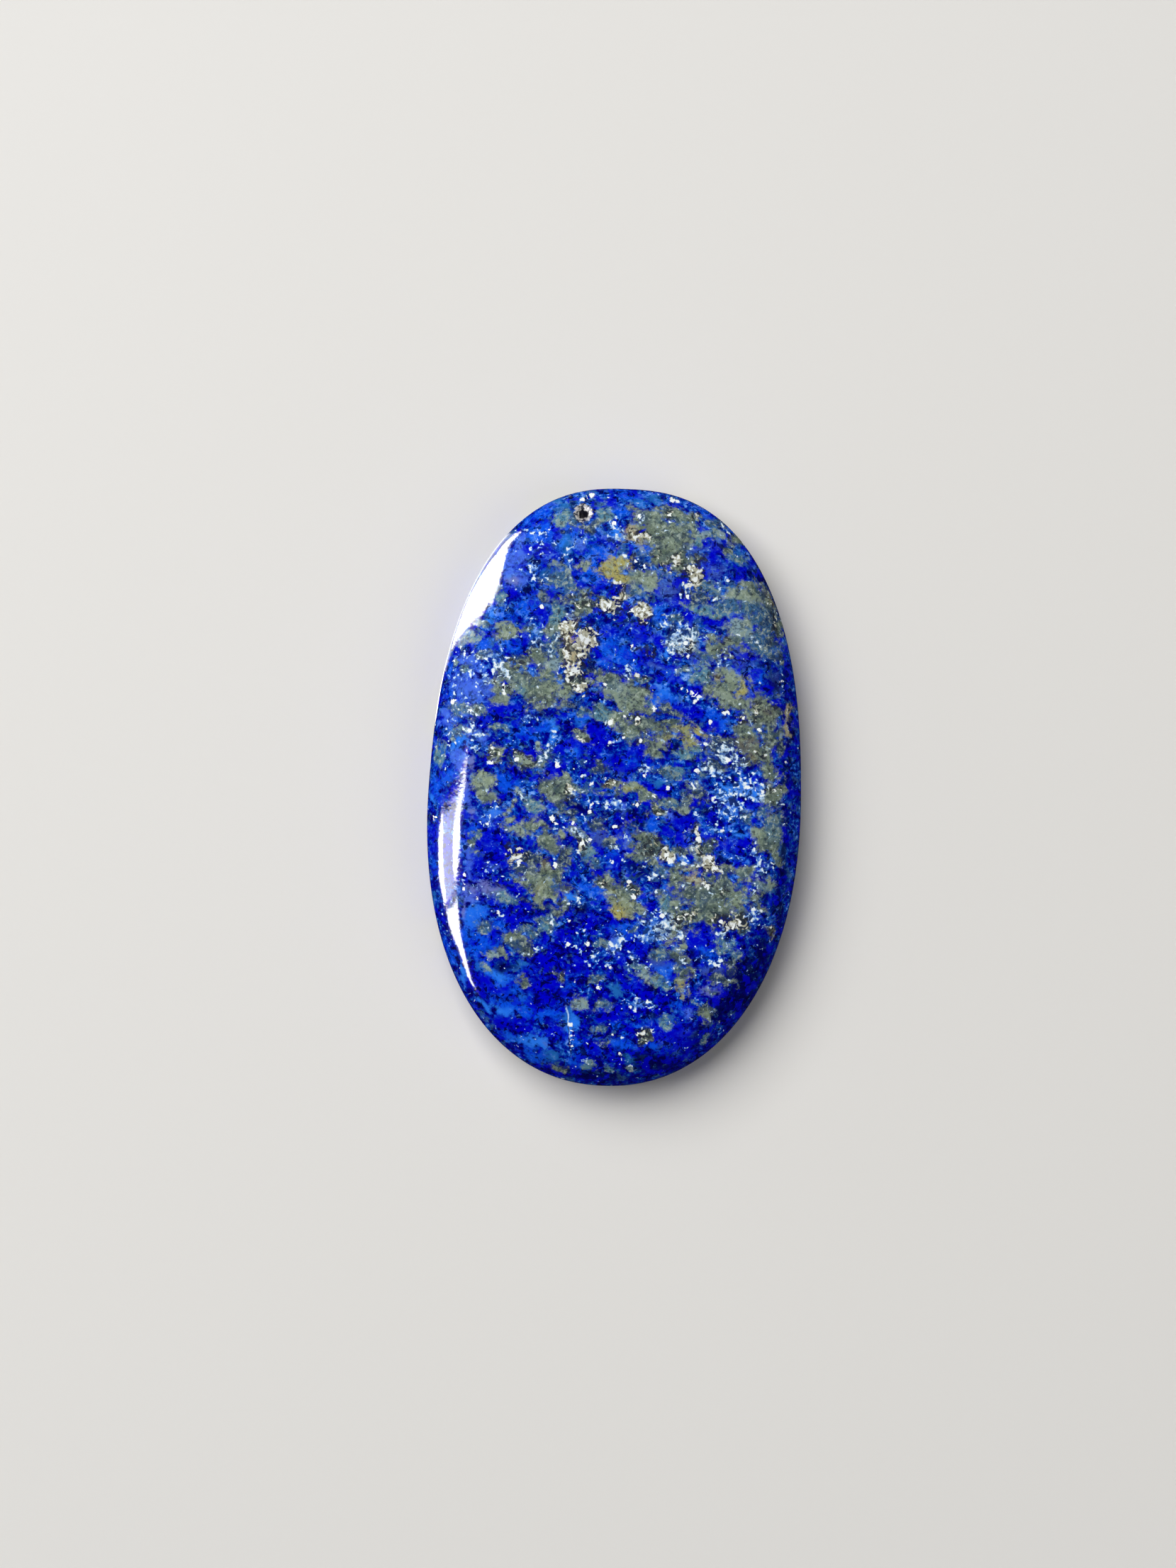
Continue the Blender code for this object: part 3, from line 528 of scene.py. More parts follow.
        (6.7, -17.0, 1.2, 0.5, 40), (1.8, -18.8, 0.8, 0.5), (7.0, -13.4, 1.3, 0.8), (3.4, -5.6, 0.9, 0.6),
        (4.7, -12.0, 0.7, 0.7), (6.5, -5.7, 0.7, 0.6), (6.0, 1.1, 0.7, 0.5), (-6.6, -7.9, 1.0, 0.5),
        (2.2, 5.9, 0.6, 0.4),
    ],
    "slateDark": [
        (-2.3, 17.5, 0.9, 0.8), (-5.2, 12.5, 0.9, 0.5), (2.6, 19.1, 0.8, 0.5), (5.3, 13.0, 1.2, 0.7),
        (9.3, 13.5, 0.8, 0.8), (9.9, 11.9, 1.2, 1.3), (10.2, 10.2, 1.0, 1.2), (6.3, 13.1, 0.9, 0.5),
        (3.9, 16.1, 0.9, 0.7), (-6.7, 8.2, 1.2, 0.5), (-6.2, 7.2, 0.9, 0.4), (-1.2, 1.3, 0.9, 0.5),
        (10.4, 9.1, 0.8, 0.7), (3.5, 5.4, 1.4, 0.5), (10.9, 3.0, 0.9, 0.8), (7.0, 2.9, 2.3, 1.6),
        (6.6, 1.7, 1.6, 0.6), (5.3, -0.2, 1.2, 0.8), (-3.8, -1.4, 1.2, 0.7), (-1.0, -2.5, 1.3, 0.7),
        (-0.4, -3.8, 0.9, 0.8), (-3.3, -4.9, 1.0, 1.4), (-5.4, -4.9, 1.2, 0.9), (-6.0, -6.0, 1.4, 0.7),
        (4.9, -0.5, 1.2, 0.8), (7.6, -5.7, 1.4, 0.7), (6.4, -7.0, 1.4, 0.8), (-6.0, -10.8, 1.4, 1.0),
        (0.0, -17.1, 0.8, 0.6), (7.7, -12.5, 2.0, 0.9), (8.2, -11.7, 1.0, 0.6), (-3.6, -8.6, 0.9, 0.5),
        (-5.8, -7.9, 0.9, 0.4), (6.9, -14.5, 0.8, 0.5), (-7.3, -2.1, 0.7, 0.4), (4.8, -4.0, 0.7, 0.5),
        (1.4, 7.4, 0.8, 0.3), (-2.8, 7.3, 0.5, 0.5), (-2.9, -2.0, 0.7, 0.5), (9.6, 4.6, 0.7, 0.5),
    ],
    "teal": [
        (-4.2, 18.0, 0.8, 1.6, 0), (-8.35, 12.5, 0.8, 1.1, 10), (-9.8, 9.8, 1.4, 0.5),
        (-1.4, 18.3, 1.1, 0.9), (-4.4, 11.1, 0.8, 1.4, 0), (6.0, 12.0, 2.4, 0.6), (7.6, 15.8, 1.1, 0.5),
        (4.95, 17.1, 0.4, 1.2, 0), (-10.5, 7.7, 0.9, 0.5), (-6.6, 6.2, 1.2, 1.1), (-1.2, 4.9, 1.6, 0.7),
        (-10.4, 3.6, 1.2, 0.6), (5.6, 7.8, 1.3, 1.2), (4.7, 2.4, 1.6, 0.6), (5.3, 2.9, 0.7, 0.6),
        (3.9, 1.4, 1.2, 0.5), (-5.6, -1.4, 1.4, 0.9), (-1.5, -4.4, 1.4, 0.8), (-6.9, -7.6, 1.4, 0.8),
        (-4.2, -9.5, 1.5, 1.0), (3.8, -7.5, 0.8, 1.2, 0), (3.8, -13.2, 1.1, 0.7), (-8.2, -12.5, 0.9, 0.8),
        (7.8, -10.2, 1.5, 0.8), (-0.8, -18.8, 1.1, 0.6), (4.1, -15.7, 1.2, 0.6),
        (-11.9, 1.8, 0.6, 1.2, 0), (0.3, -18.9, 0.7, 0.5), (10.7, -2.9, 1.0, 0.8), (-9.4, -3.9, 0.6, 0.7),
        (2.0, -12.0, 0.7, 0.5), (3.3, -12.7, 0.8, 0.6),
    ],
    "mist": [
        (5.35, 17.25, 1.0, 0.5), (6.2, 17.4, 0.8, 0.4), (8.0, 11.0, 1.5, 1.1), (1.7, 13.5, 0.7, 0.4),
        (-4.6, 8.3, 1.2, 0.9), (-9.9, 9.6, 0.9, 0.5), (0.0, 6.6, 1.3, 1.2), (-5.3, 2.6, 0.5, 0.5),
        (5.0, 0.4, 0.8, 0.8), (4.2, 9.9, 1.7, 1.2), (-6.4, -0.8, 0.9, 0.5), (-2.1, -3.3, 1.2, 0.9),
        (5.6, -3.5, 0.8, 1.8, 0), (5.7, -4.7, 0.7, 0.8), (10.3, -6.2, 0.8, 0.5), (-7.8, -11.5, 1.2, 0.8),
        (-1.7, -14.6, 1.0, 1.0), (2.2, -12.6, 1.2, 0.9), (-6.3, -3.0, 1.2, 0.4), (5.6, 8.1, 0.7, 0.5),
        (-0.7, -18.8, 0.6, 0.4), (-1.6, -4.3, 0.8, 0.5), (7.9, 11.4, 0.6, 0.4), (-6.8, -7.4, 0.7, 0.4),
    ],
    "tan": [
        (-3.6, 10.4, 0.9, 1.0), (0.0, 12.7, 0.8, 0.5), (0.7, 16.95, 1.5, 0.9), (1.3, 12.0, 0.9, 0.5),
        (-3.45, 9.2, 0.8, 2.5, 0), (6.4, 7.6, 0.7, 0.5), (5.6, -6.0, 1.2, 1.0), (9.6, 2.8, 0.6, 0.5),
        (-2.2, -3.9, 0.7, 0.4), (-4.9, -7.0, 0.6, 0.5), (3.7, -4.6, 0.8, 0.6), (6.6, -4.8, 0.7, 1.0, -30),
        (11.45, 5.5, 0.4, 1.2, 0), (11.5, 4.3, 0.3, 0.9, 0), (4.6, 14.6, 0.6, 1.0, -40),
    ],
}

# Where brassy grains crowd together, thickly or thinly.
pyrites = {
    "thick": [
        (-0.8, 12.2, 1.5, 1.2), (-3.6, 10.4, 1.1, 1.1), (-2.2, 10.2, 0.9, 1.3, 0), (0.0, 12.6, 0.9, 0.8),
        (1.3, 17.0, 0.8, 0.7), (0.5, 16.8, 0.7, 0.6), (4.6, 14.5, 1.2, 1.6, -40), (1.2, 11.9, 1.1, 0.8),
        (-3.7, 9.2, 0.4, 2.6, 0), (-2.6, 9.2, 0.8, 2.8, 0), (-3.25, 7.6, 0.9, 1.0), (-2.6, 6.4, 0.9, 0.9),
        (5.7, -3.2, 0.5, 1.5, 10), (6.4, -4.7, 2.0, 0.6, -46), (6.35, -6.0, 0.3, 1.1, 35),
        (8.2, -8.8, 1.9, 0.9), (3.7, -4.5, 0.9, 0.8), (3.5, 15.5, 0.9, 0.7), (-2.2, -3.8, 0.8, 0.7),
    ],
    "thin": [
        (-3.0, 12.6, 1.2, 0.7), (-0.5, 13.4, 0.6, 0.4), (2.7, 14.8, 0.7, 0.5), (2.1, 15.8, 0.4, 0.4),
        (2.9, 18.5, 0.5, 0.4), (4.5, 18.5, 0.5, 0.5), (6.6, 10.2, 0.8, 0.7), (0.3, 12.0, 0.5, 0.5),
        (9.7, 12.9, 0.4, 0.9, 25), (10.4, 11.0, 0.4, 1.4, 10), (-6.9, 7.8, 0.9, 0.5),
        (-7.9, 6.5, 0.9, 0.6), (-0.4, 4.35, 0.4, 0.4), (-2.3, 3.5, 0.7, 0.6), (-8.2, 1.9, 0.9, 0.7),
        (-6.3, 1.6, 1.4, 0.8), (-0.6, 0.3, 0.8, 0.5), (1.7, 9.3, 0.8, 0.6), (4.4, 9.6, 0.9, 0.9),
        (1.5, 7.6, 0.8, 0.4), (1.7, 6.9, 0.4, 0.3), (2.4, 5.4, 0.5, 0.4), (1.3, 4.7, 0.5, 0.4),
        (6.4, 7.6, 0.5, 0.4), (7.2, 5.4, 0.5, 0.3), (8.4, 5.0, 0.4, 0.4), (9.5, 4.35, 0.5, 0.3, -50),
        (9.3, 5.6, 0.5, 0.9), (10.3, 6.1, 0.5, 0.3), (11.45, 5.5, 0.3, 1.0, 0), (9.7, 2.9, 0.7, 0.5),
        (10.8, 0.4, 0.7, 0.5), (1.55, 3.2, 0.4, 0.5), (-3.0, -0.6, 0.8, 0.9), (-6.6, -4.6, 1.3, 0.8),
        (-6.5, -5.3, 0.9, 0.4), (-5.5, -8.0, 0.5, 0.3), (-0.7, -6.2, 1.1, 0.4, -40),
        (1.5, -1.1, 0.5, 0.4), (2.9, -1.5, 0.9, 0.6), (2.9, -3.3, 1.0, 0.6), (6.9, -5.3, 0.4, 0.4),
        (6.0, -5.4, 0.5, 0.4), (6.4, -6.3, 0.7, 0.3, -40), (7.5, -8.7, 0.5, 0.4), (8.8, -8.2, 0.4, 0.5),
        (4.7, -8.9, 0.9, 0.9), (1.2, -6.4, 0.5, 0.4), (1.7, -7.0, 0.4, 0.6), (2.7, -16.6, 0.9, 0.6),
        (-3.2, -12.8, 0.7, 0.5), (10.9, -9.2, 0.4, 0.5), (7.6, -6.8, 0.5, 0.4), (5.5, -8.2, 0.9, 0.6),
        (-12.3, -2.8, 0.3, 0.4), (-1.0, 6.9, 0.3, 0.3), (5.8, -3.3, 0.6, 0.8), (2.2, -3.9, 0.8, 0.5),
    ],
}

# Where pale flecks crowd together, thickly or thinly.
snows = {
    "thick": [
        (4.1, 10.2, 2.1, 1.7), (5.4, 10.2, 0.6, 0.5), (8.6, 0.2, 2.6, 1.1), (7.4, -0.3, 2.0, 1.2),
        (9.7, 0.0, 0.9, 1.4, 0), (7.8, -1.4, 1.5, 1.3), (7.0, -2.7, 1.5, 1.0), (5.6, -3.4, 0.7, 1.7, 0),
        (8.4, -4.4, 1.3, 0.5, -20), (9.5, -4.1, 0.35, 2.4, 22), (10.7, -5.2, 1.2, 0.4, -35),
        (0.2, -1.0, 0.7, 1.0, 0), (3.4, -9.2, 2.2, 1.9), (2.8, -9.7, 1.4, 1.3), (4.7, -9.9, 0.9, 0.9),
        (0.5, -10.6, 1.2, 1.3), (1.6, -11.5, 1.2, 0.8), (-0.9, -11.4, 0.7, 1.2, 0),
        (7.3, -11.5, 1.4, 0.6, 20), (2.6, -14.4, 1.8, 0.8), (9.8, -8.3, 1.2, 1.0, -40),
        (-2.1, -3.2, 1.1, 0.6), (-5.9, 4.6, 1.2, 0.5), (-8.2, 8.5, 1.1, 0.5), (6.8, 1.1, 1.4, 0.6),
        (7.4, 2.6, 1.6, 1.0), (5.9, 1.6, 0.9, 0.6), (-4.0, 1.5, 0.5, 0.8, 0), (4.8, -4.8, 0.6, 0.7),
        (-2.6, 6.3, 0.7, 0.6), (3.8, -12.2, 0.9, 0.6), (-3.8, -10.4, 0.5, 0.3),
    ],
    "thin": [
        (-5.8, 10.4, 0.8, 1.2), (-8.8, 10.5, 0.5, 0.4), (-6.0, 14.3, 1.6, 0.8), (-6.3, 16.4, 1.6, 1.4),
        (-4.7, 15.9, 0.8, 1.0), (-0.7, 17.3, 0.7, 1.3), (-3.6, 15.2, 0.35, 1.5, 10),
        (-3.65, 14.0, 0.4, 0.5), (-3.1, 16.4, 0.4, 0.9, 0), (-6.6, 13.3, 0.8, 0.8),
        (-3.5, 11.4, 0.5, 0.5), (0.8, 18.3, 0.4, 0.6), (6.7, 17.6, 0.6, 0.6), (7.0, 17.1, 0.4, 0.8),
        (7.6, 16.3, 0.5, 0.5), (1.3, 15.0, 0.5, 0.3), (0.1, 15.8, 0.5, 0.4), (0.7, 15.3, 0.5, 0.4),
        (4.1, 13.5, 0.5, 1.0), (6.3, 12.9, 0.8, 0.5), (7.0, 14.2, 0.4, 0.4), (2.8, 10.9, 0.6, 0.9),
        (6.2, 13.8, 0.5, 0.6), (8.8, 10.6, 0.4, 0.5), (-4.7, 9.4, 0.4, 1.6, -45), (-5.8, 9.2, 0.8, 0.8),
        (-9.0, 8.1, 2.4, 1.8), (-8.7, 7.7, 1.2, 0.5), (-9.9, 6.6, 2.6, 2.0), (-11.3, 6.7, 0.8, 1.2),
        (-10.6, 2.9, 1.8, 2.6), (-5.6, 7.9, 1.0, 0.5), (-7.8, 6.5, 0.9, 0.7), (-1.2, 5.5, 0.6, 0.5),
        (-6.4, 4.3, 0.5, 0.4), (-4.9, 4.9, 0.4, 0.4), (-3.8, 4.3, 0.9, 0.6), (-4.4, 3.4, 0.5, 1.8, 0),
        (-2.2, 2.2, 0.5, 0.4), (-0.5, 2.9, 0.5, 0.4), (-2.3, 0.9, 1.1, 0.8), (-1.6, 0.2, 0.4, 0.4),
        (-0.8, 0.6, 0.9, 0.25, -35), (-4.8, 2.0, 0.8, 0.6), (0.7, 9.5, 0.3, 0.5), (3.2, 9.3, 0.5, 1.0),
        (3.9, 8.5, 0.4, 0.9), (0.0, 7.9, 0.9, 0.5), (6.9, 9.0, 0.5, 0.6), (10.8, 7.6, 0.5, 0.6),
        (6.1, 2.8, 0.7, 0.8), (8.4, 1.4, 1.3, 0.9), (9.6, 1.2, 0.7, 0.5), (5.0, 0.4, 0.7, 0.7),
        (2.4, 1.5, 1.0, 0.5), (-6.4, -0.8, 0.8, 0.5), (-8.2, -2.2, 1.2, 1.2), (-3.2, -2.1, 0.7, 0.7),
        (-3.4, -2.9, 0.5, 0.3), (-1.9, -0.9, 1.6, 0.4), (-0.2, -1.2, 1.0, 0.9), (-1.5, -3.5, 0.5, 0.6),
        (-2.4, -4.3, 0.5, 0.3), (-0.8, -5.2, 0.6, 0.4), (-7.5, -6.6, 0.8, 0.4), (-8.1, -5.7, 1.0, 0.7),
        (-9.2, -7.4, 1.4, 1.2), (-7.5, -8.8, 0.8, 0.4), (-2.6, -7.4, 0.9, 0.9), (-0.8, -8.0, 1.3, 0.4),
        (-2.8, -9.1, 0.6, 0.3), (-2.2, -9.7, 1.2, 0.5), (-0.3, -9.9, 0.8, 0.9), (-4.3, -9.4, 1.2, 0.8),
        (0.6, -1.4, 0.5, 0.8), (6.5, -0.6, 0.6, 0.7), (5.5, -1.9, 0.6, 0.9), (3.7, -1.6, 0.9, 0.5),
        (0.8, -3.8, 0.5, 1.8, 0), (-0.1, -4.5, 0.8, 0.8), (11.2, -0.5, 0.6, 0.5), (8.4, -2.9, 1.2, 0.5),
        (3.8, -6.5, 0.7, 0.8), (9.6, -6.5, 0.4, 1.0), (2.9, -6.3, 0.7, 0.6), (7.8, -9.5, 1.2, 0.6),
        (10.6, -8.9, 0.6, 0.4), (-2.7, -10.7, 0.4, 0.3), (-1.4, -10.6, 0.4, 0.5), (-1.9, -11.1, 0.8, 0.6),
        (-1.3, -12.1, 0.6, 0.5), (-0.6, -13.5, 0.6, 0.7), (-2.2, -13.2, 0.5, 0.4),
        (-4.6, -11.1, 0.6, 0.6), (-3.4, -13.2, 0.6, 0.5), (0.2, -12.1, 0.4, 0.6), (1.3, -12.2, 0.5, 0.4),
        (2.9, -11.8, 0.8, 1.0), (4.6, -11.2, 1.2, 0.6), (6.5, -10.8, 1.1, 1.2), (6.4, -12.0, 0.6, 0.5),
        (9.6, -10.3, 1.4, 0.5), (8.1, -12.2, 0.4, 0.4), (4.8, -14.7, 0.4, 0.4), (1.6, -14.7, 0.6, 0.4),
        (1.6, -15.4, 0.9, 0.5), (5.5, -14.9, 0.9, 0.5), (0.5, -16.7, 0.9, 0.4), (1.1, -17.9, 0.4, 0.4),
        (0.6, -18.4, 0.8, 0.4), (-0.9, -15.8, 0.7, 0.6), (2.4, -16.5, 0.5, 0.7), (2.8, -17.1, 0.7, 0.3),
        (10.0, -5.0, 0.6, 0.5), (-4.6, -9.9, 0.8, 0.4), (8.9, 10.2, 0.6, 0.5),
    ],
}

# The brightest single grains, partly pale grains and partly painted glints: across, along and radius.
glints = [
    (-5.5, 11.95, 0.13), (-2.4, 19.68, 0.19), (-3.05, 19.35, 0.16), (-0.85, 17.75, 0.12),
    # The two at across 3.0 and 3.38 near the upper edge are a painted highlight.
    (0.83, 18.3, 0.12), (3.0, 19.62, 0.17), (3.38, 19.52, 0.15), (0.7, 15.3, 0.12), (7.0, 14.2, 0.12),
    (4.3, 13.0, 0.12), (4.5, 14.6, 0.13), (4.65, 15.1, 0.1), (2.9, 18.5, 0.1), (1.3, 15.0, 0.08),
    (4.2, 6.8, 0.11), (4.9, 6.6, 0.13), (5.4, 6.35, 0.12), (5.1, 6.0, 0.12), (0.7, 9.55, 0.11),
    (2.1, 8.9, 0.1), (7.1, 5.35, 0.15), (7.35, 5.35, 0.1), (8.4, 5.0, 0.1), (9.5, 4.3, 0.12),
    (2.4, 5.4, 0.14), (1.3, 4.7, 0.15), (0.4, 3.35, 0.12), (1.55, 3.2, 0.12), (-0.5, 2.95, 0.12),
    (6.2, 4.7, 0.11), (5.4, 1.4, 0.13), (7.5, 2.2, 0.15), (3.5, 0.1, 0.11), (1.9, 0.9, 0.1),
    (-11.15, 5.35, 0.16), (-1.0, 6.9, 0.11), (-8.4, 2.3, 0.12), (-8.4, 1.3, 0.13), (-6.7, 1.6, 0.12),
    (-4.0, 1.35, 0.17), (-1.6, 0.2, 0.1), (-0.5, 4.35, 0.11), (-2.8, 6.5, 0.15), (-3.3, 7.5, 0.15),
    (-4.2, -2.3, 0.18), (-3.9, -2.6, 0.14), (-2.7, -2.5, 0.11), (-8.5, -2.8, 0.12), (-2.1, -3.85, 0.17),
    (-1.5, -3.6, 0.11), (-3.8, -5.4, 0.18), (-6.3, -5.4, 0.1), (-1.55, -1.2, 0.1), (-1.65, -1.7, 0.1),
    (0.1, -2.6, 0.16), (-9.9, -6.3, 0.11), (-9.9, -7.3, 0.1), (-9.0, -7.9, 0.11), (1.15, -6.3, 0.13),
    (1.6, -7.3, 0.19), (3.6, -4.4, 0.16), (3.9, -4.8, 0.14), (6.55, -4.4, 0.17), (6.9, -5.15, 0.14),
    (6.2, -6.2, 0.1), (6.5, -6.5, 0.1), (5.7, -3.2, 0.14), (7.5, -8.7, 0.13), (8.3, -9.1, 0.14),
    (8.8, -8.7, 0.12), (3.5, -8.5, 0.15), (4.6, -8.7, 0.12), (-2.75, -9.1, 0.11), (-2.7, -10.7, 0.12),
    (-1.4, -10.6, 0.13), (-2.2, -13.2, 0.1), (-0.6, -13.5, 0.12), (0.2, -12.1, 0.1), (1.6, -14.7, 0.11),
    (2.75, -14.3, 0.12), (-2.3, -16.05, 0.14), (-2.25, -16.8, 0.1), (-2.2, -17.5, 0.13),
    (-0.9, 12.2, 0.14), (-1.2, 11.9, 0.11), (0.6, 11.9, 0.13), (1.4, 12.0, 0.11), (0.4, 4.8, 0.07),
    (-7.8, 6.6, 0.11), (-7.75, 6.0, 0.1), (10.7, 0.3, 0.12), (11.4, 2.2, 0.08), (-7.5, -8.7, 0.1),
    (10.9, -9.0, 0.1), (2.2, -16.5, 0.1), (2.8, -17.1, 0.09), (1.1, -17.9, 0.1), (0.5, -16.6, 0.1),
    (-0.7, 0.65, 0.09), (2.6, -0.5, 0.1), (1.5, -1.1, 0.12), (6.6, -0.5, 0.13), (8.9, 0.4, 0.14),
    (9.9, 0.1, 0.13), (7.3, -2.6, 0.12), (10.9, 7.6, 0.09), (4.3, 9.9, 0.14), (4.5, 9.0, 0.13),
]


marks = {
    "lean": -12,             # degrees: most patches lie along the stone's faint layering
    "readScale": 0.987,      # places were read on the outline's scale, and the face is nearer the eye
    "warp": 0.45,            # how far patch edges wander, and over what length
    "warpSize": 0.8,
    "blend": 4.0,            # how sharply one patch's colour gives way to the next
    "baseWeight": 0.001,     # how much of the base colour stays where patches lie
    "sideLow": 1.2,          # between these heights the face's own marks give way to others
    "sideHigh": 3.0,
    "thinSnow": -0.18,       # the share at which thin crowds of flecks and of brassy grains stay
    "thinBrass": -0.22,
    "grainReach": 0.5,       # how far round a bright grain its middle and radius are kept
    "noShare": -2.0,         # the share of a patch far away from it
}

# Patches in space for the back and the side, which the picture doesn't show: their colours, how
# many there are, and the smallest and largest.
hidden = {
    "blue": {"kinds": ["deep", "navy", "azure", "azure", "lavender"], "base": "royal",
             "count": 420, "sizes": (1.5, 5.0), "seed": 7},
    "mineral": {"kinds": ["olive", "oliveDark", "olivePale", "yellowOlive", "slate"], "base": "olive",
                "count": 105, "sizes": (0.8, 4.0), "seed": 8},
    "pyrite": {"kinds": ["tan"], "base": "tan", "count": 52, "sizes": (0.6, 2.4), "seed": 9},
    "snow": {"kinds": ["snow"], "base": "snow", "count": 52, "sizes": (0.8, 3.2), "seed": 10},
}


def patchShare(points, patch):   # 1 in the middle of a patch, 0 at its edge, less outside it
    x, y, wide, high, *more = patch
    lean = math.radians(more[0] if more else marks["lean"])
    away = points[:, :2] - np.array((x, y)) * marks["readScale"]
    along = (away[:, 0] * math.cos(lean) + away[:, 1] * math.sin(lean)) / (wide / 2)
    across = (away[:, 1] * math.cos(lean) - away[:, 0] * math.sin(lean)) / (high / 2)
    return np.maximum(1 - np.hypot(along, across), marks["noShare"])


# The strongest share at each point, and the colour there, which every near patch pulls at.
def blended(count, shares, base):
    best = np.full(count, marks["noShare"])
    weight = np.full(count, marks["baseWeight"])
    tone = np.outer(weight, palette[base])
    for name, share in shares:
        pull = np.where(share > -1, np.exp(marks["blend"] * share), 0)
        best = np.maximum(best, share)
        weight += pull
        tone += np.outer(pull, palette[name])
    return best, tone / weight[:, None]


def laidPatches(points, groups, base):
    shares = ((name, patchShare(points, patch)) for name, patches in groups.items() for patch in patches)
    return blended(len(points), shares, base)


def crowdShare(points, crowds, thinShare):
    thick, thin = [np.max([patchShare(points, patch) for patch in crowds[kind]], axis=0)
                   for kind in ("thick", "thin")]
    return np.maximum(thick, np.minimum(thin, thinShare))


def hiddenPatches(points, made):
    draw = np.random.RandomState(made["seed"])
    kinds = made["kinds"]
    beyond = 0.5                 # how far under the back and over the wall their middles may lie
    corners = (-halfWidth, -halfLength, -beyond), (halfWidth, halfLength, wallTop + beyond)

    def shares():
        for i in range(made["count"]):
            name = kinds[draw.randint(len(kinds))]
            middle = draw.uniform(*corners)
            longest = draw.uniform(*made["sizes"])
            size = longest * np.array((1.0, draw.uniform(0.4, 0.8), draw.uniform(0.4, 0.9))) / 2
            share = 1 - np.linalg.norm((points - middle) / size, axis=1)
            yield name, np.maximum(share, marks["noShare"])

    return blended(len(points), shares(), made["base"])


def storeValue(mesh, name, values):
    mesh.attributes.new(name, "FLOAT", "POINT").data.foreach_set("value", values)


def storeVector(mesh, name, values):
    mesh.attributes.new(name, "FLOAT_VECTOR", "POINT").data.foreach_set("vector", values.ravel())


def paintStone(stone):
    mesh = stone.data
    points = np.zeros(len(mesh.vertices) * 3)
    mesh.vertices.foreach_get("co", points)
    points = points.reshape(-1, 3) / mm
    warp = np.stack([wander(points, marks["warpSize"], seed) for seed in (11, 12, 13)], axis=1)
    warped = points + marks["warp"] * warp
    front = eased((points[:, 2] - marks["sideLow"]) / (marks["sideHigh"] - marks["sideLow"]))

    shown = {
        "blue": laidPatches(warped, blues, hidden["blue"]["base"]),
        "mineral": laidPatches(warped, minerals, hidden["mineral"]["base"]),
        "pyrite": (crowdShare(warped, pyrites, marks["thinBrass"]), None),
        "snow": (crowdShare(warped, snows, marks["thinSnow"]), None),
    }
    for name, (share, tone) in shown.items():
        hiddenShare, hiddenTone = hiddenPatches(warped, hidden[name])
        storeValue(mesh, name + "Share", front * share + (1 - front) * hiddenShare)
        if tone is not None:
            tone = front[:, None] * tone + (1 - front[:, None]) * hiddenTone
            storeVector(mesh, name + "Tone", tone)

    # Each point near a bright grain keeps that grain's middle and radius, so its disc stays crisp.
    grains = np.array(glints) * (marks["readScale"], marks["readScale"], 1)
    away = np.linalg.norm(points[:, None, :2] - grains[None, :, :2], axis=2)
    nearest = grains[away.argmin(axis=1)]
    far = (away.min(axis=1) > marks["grainReach"]) | (points[:, 2] < wallTop)
    nearest[far, 2] = -marks["grainReach"]    # a radius under nothing, so no disc
    storeVector(mesh, "glintSpot", nearest)


paintStone(stone)
print("minerals laid out")


# A shader value that can be written as plain maths: each operator adds its Math node.
class Wire:
    def __init__(self, shader, socket):
        self.shader = shader
        self.socket = socket

    def maths(self, operation, *values):
        return self.shader.node("ShaderNodeMath", {"operation": operation}, dict(enumerate(values)))

    def __add__(self, other):
        return self.maths("ADD", self, other)

    def __radd__(self, other):
        return self.maths("ADD", other, self)

    def __sub__(self, other):
        return self.maths("SUBTRACT", self, other)

    def __rsub__(self, other):
        return self.maths("SUBTRACT", other, self)

    def __mul__(self, other):
        return self.maths("MULTIPLY", self, other)

    def __rmul__(self, other):
        return self.maths("MULTIPLY", other, self)

    def __abs__(self):
        return self.maths("ABSOLUTE", self)

    def output(self, name):      # another output of the same node
        return Wire(self.shader, self.socket.node.outputs[name])


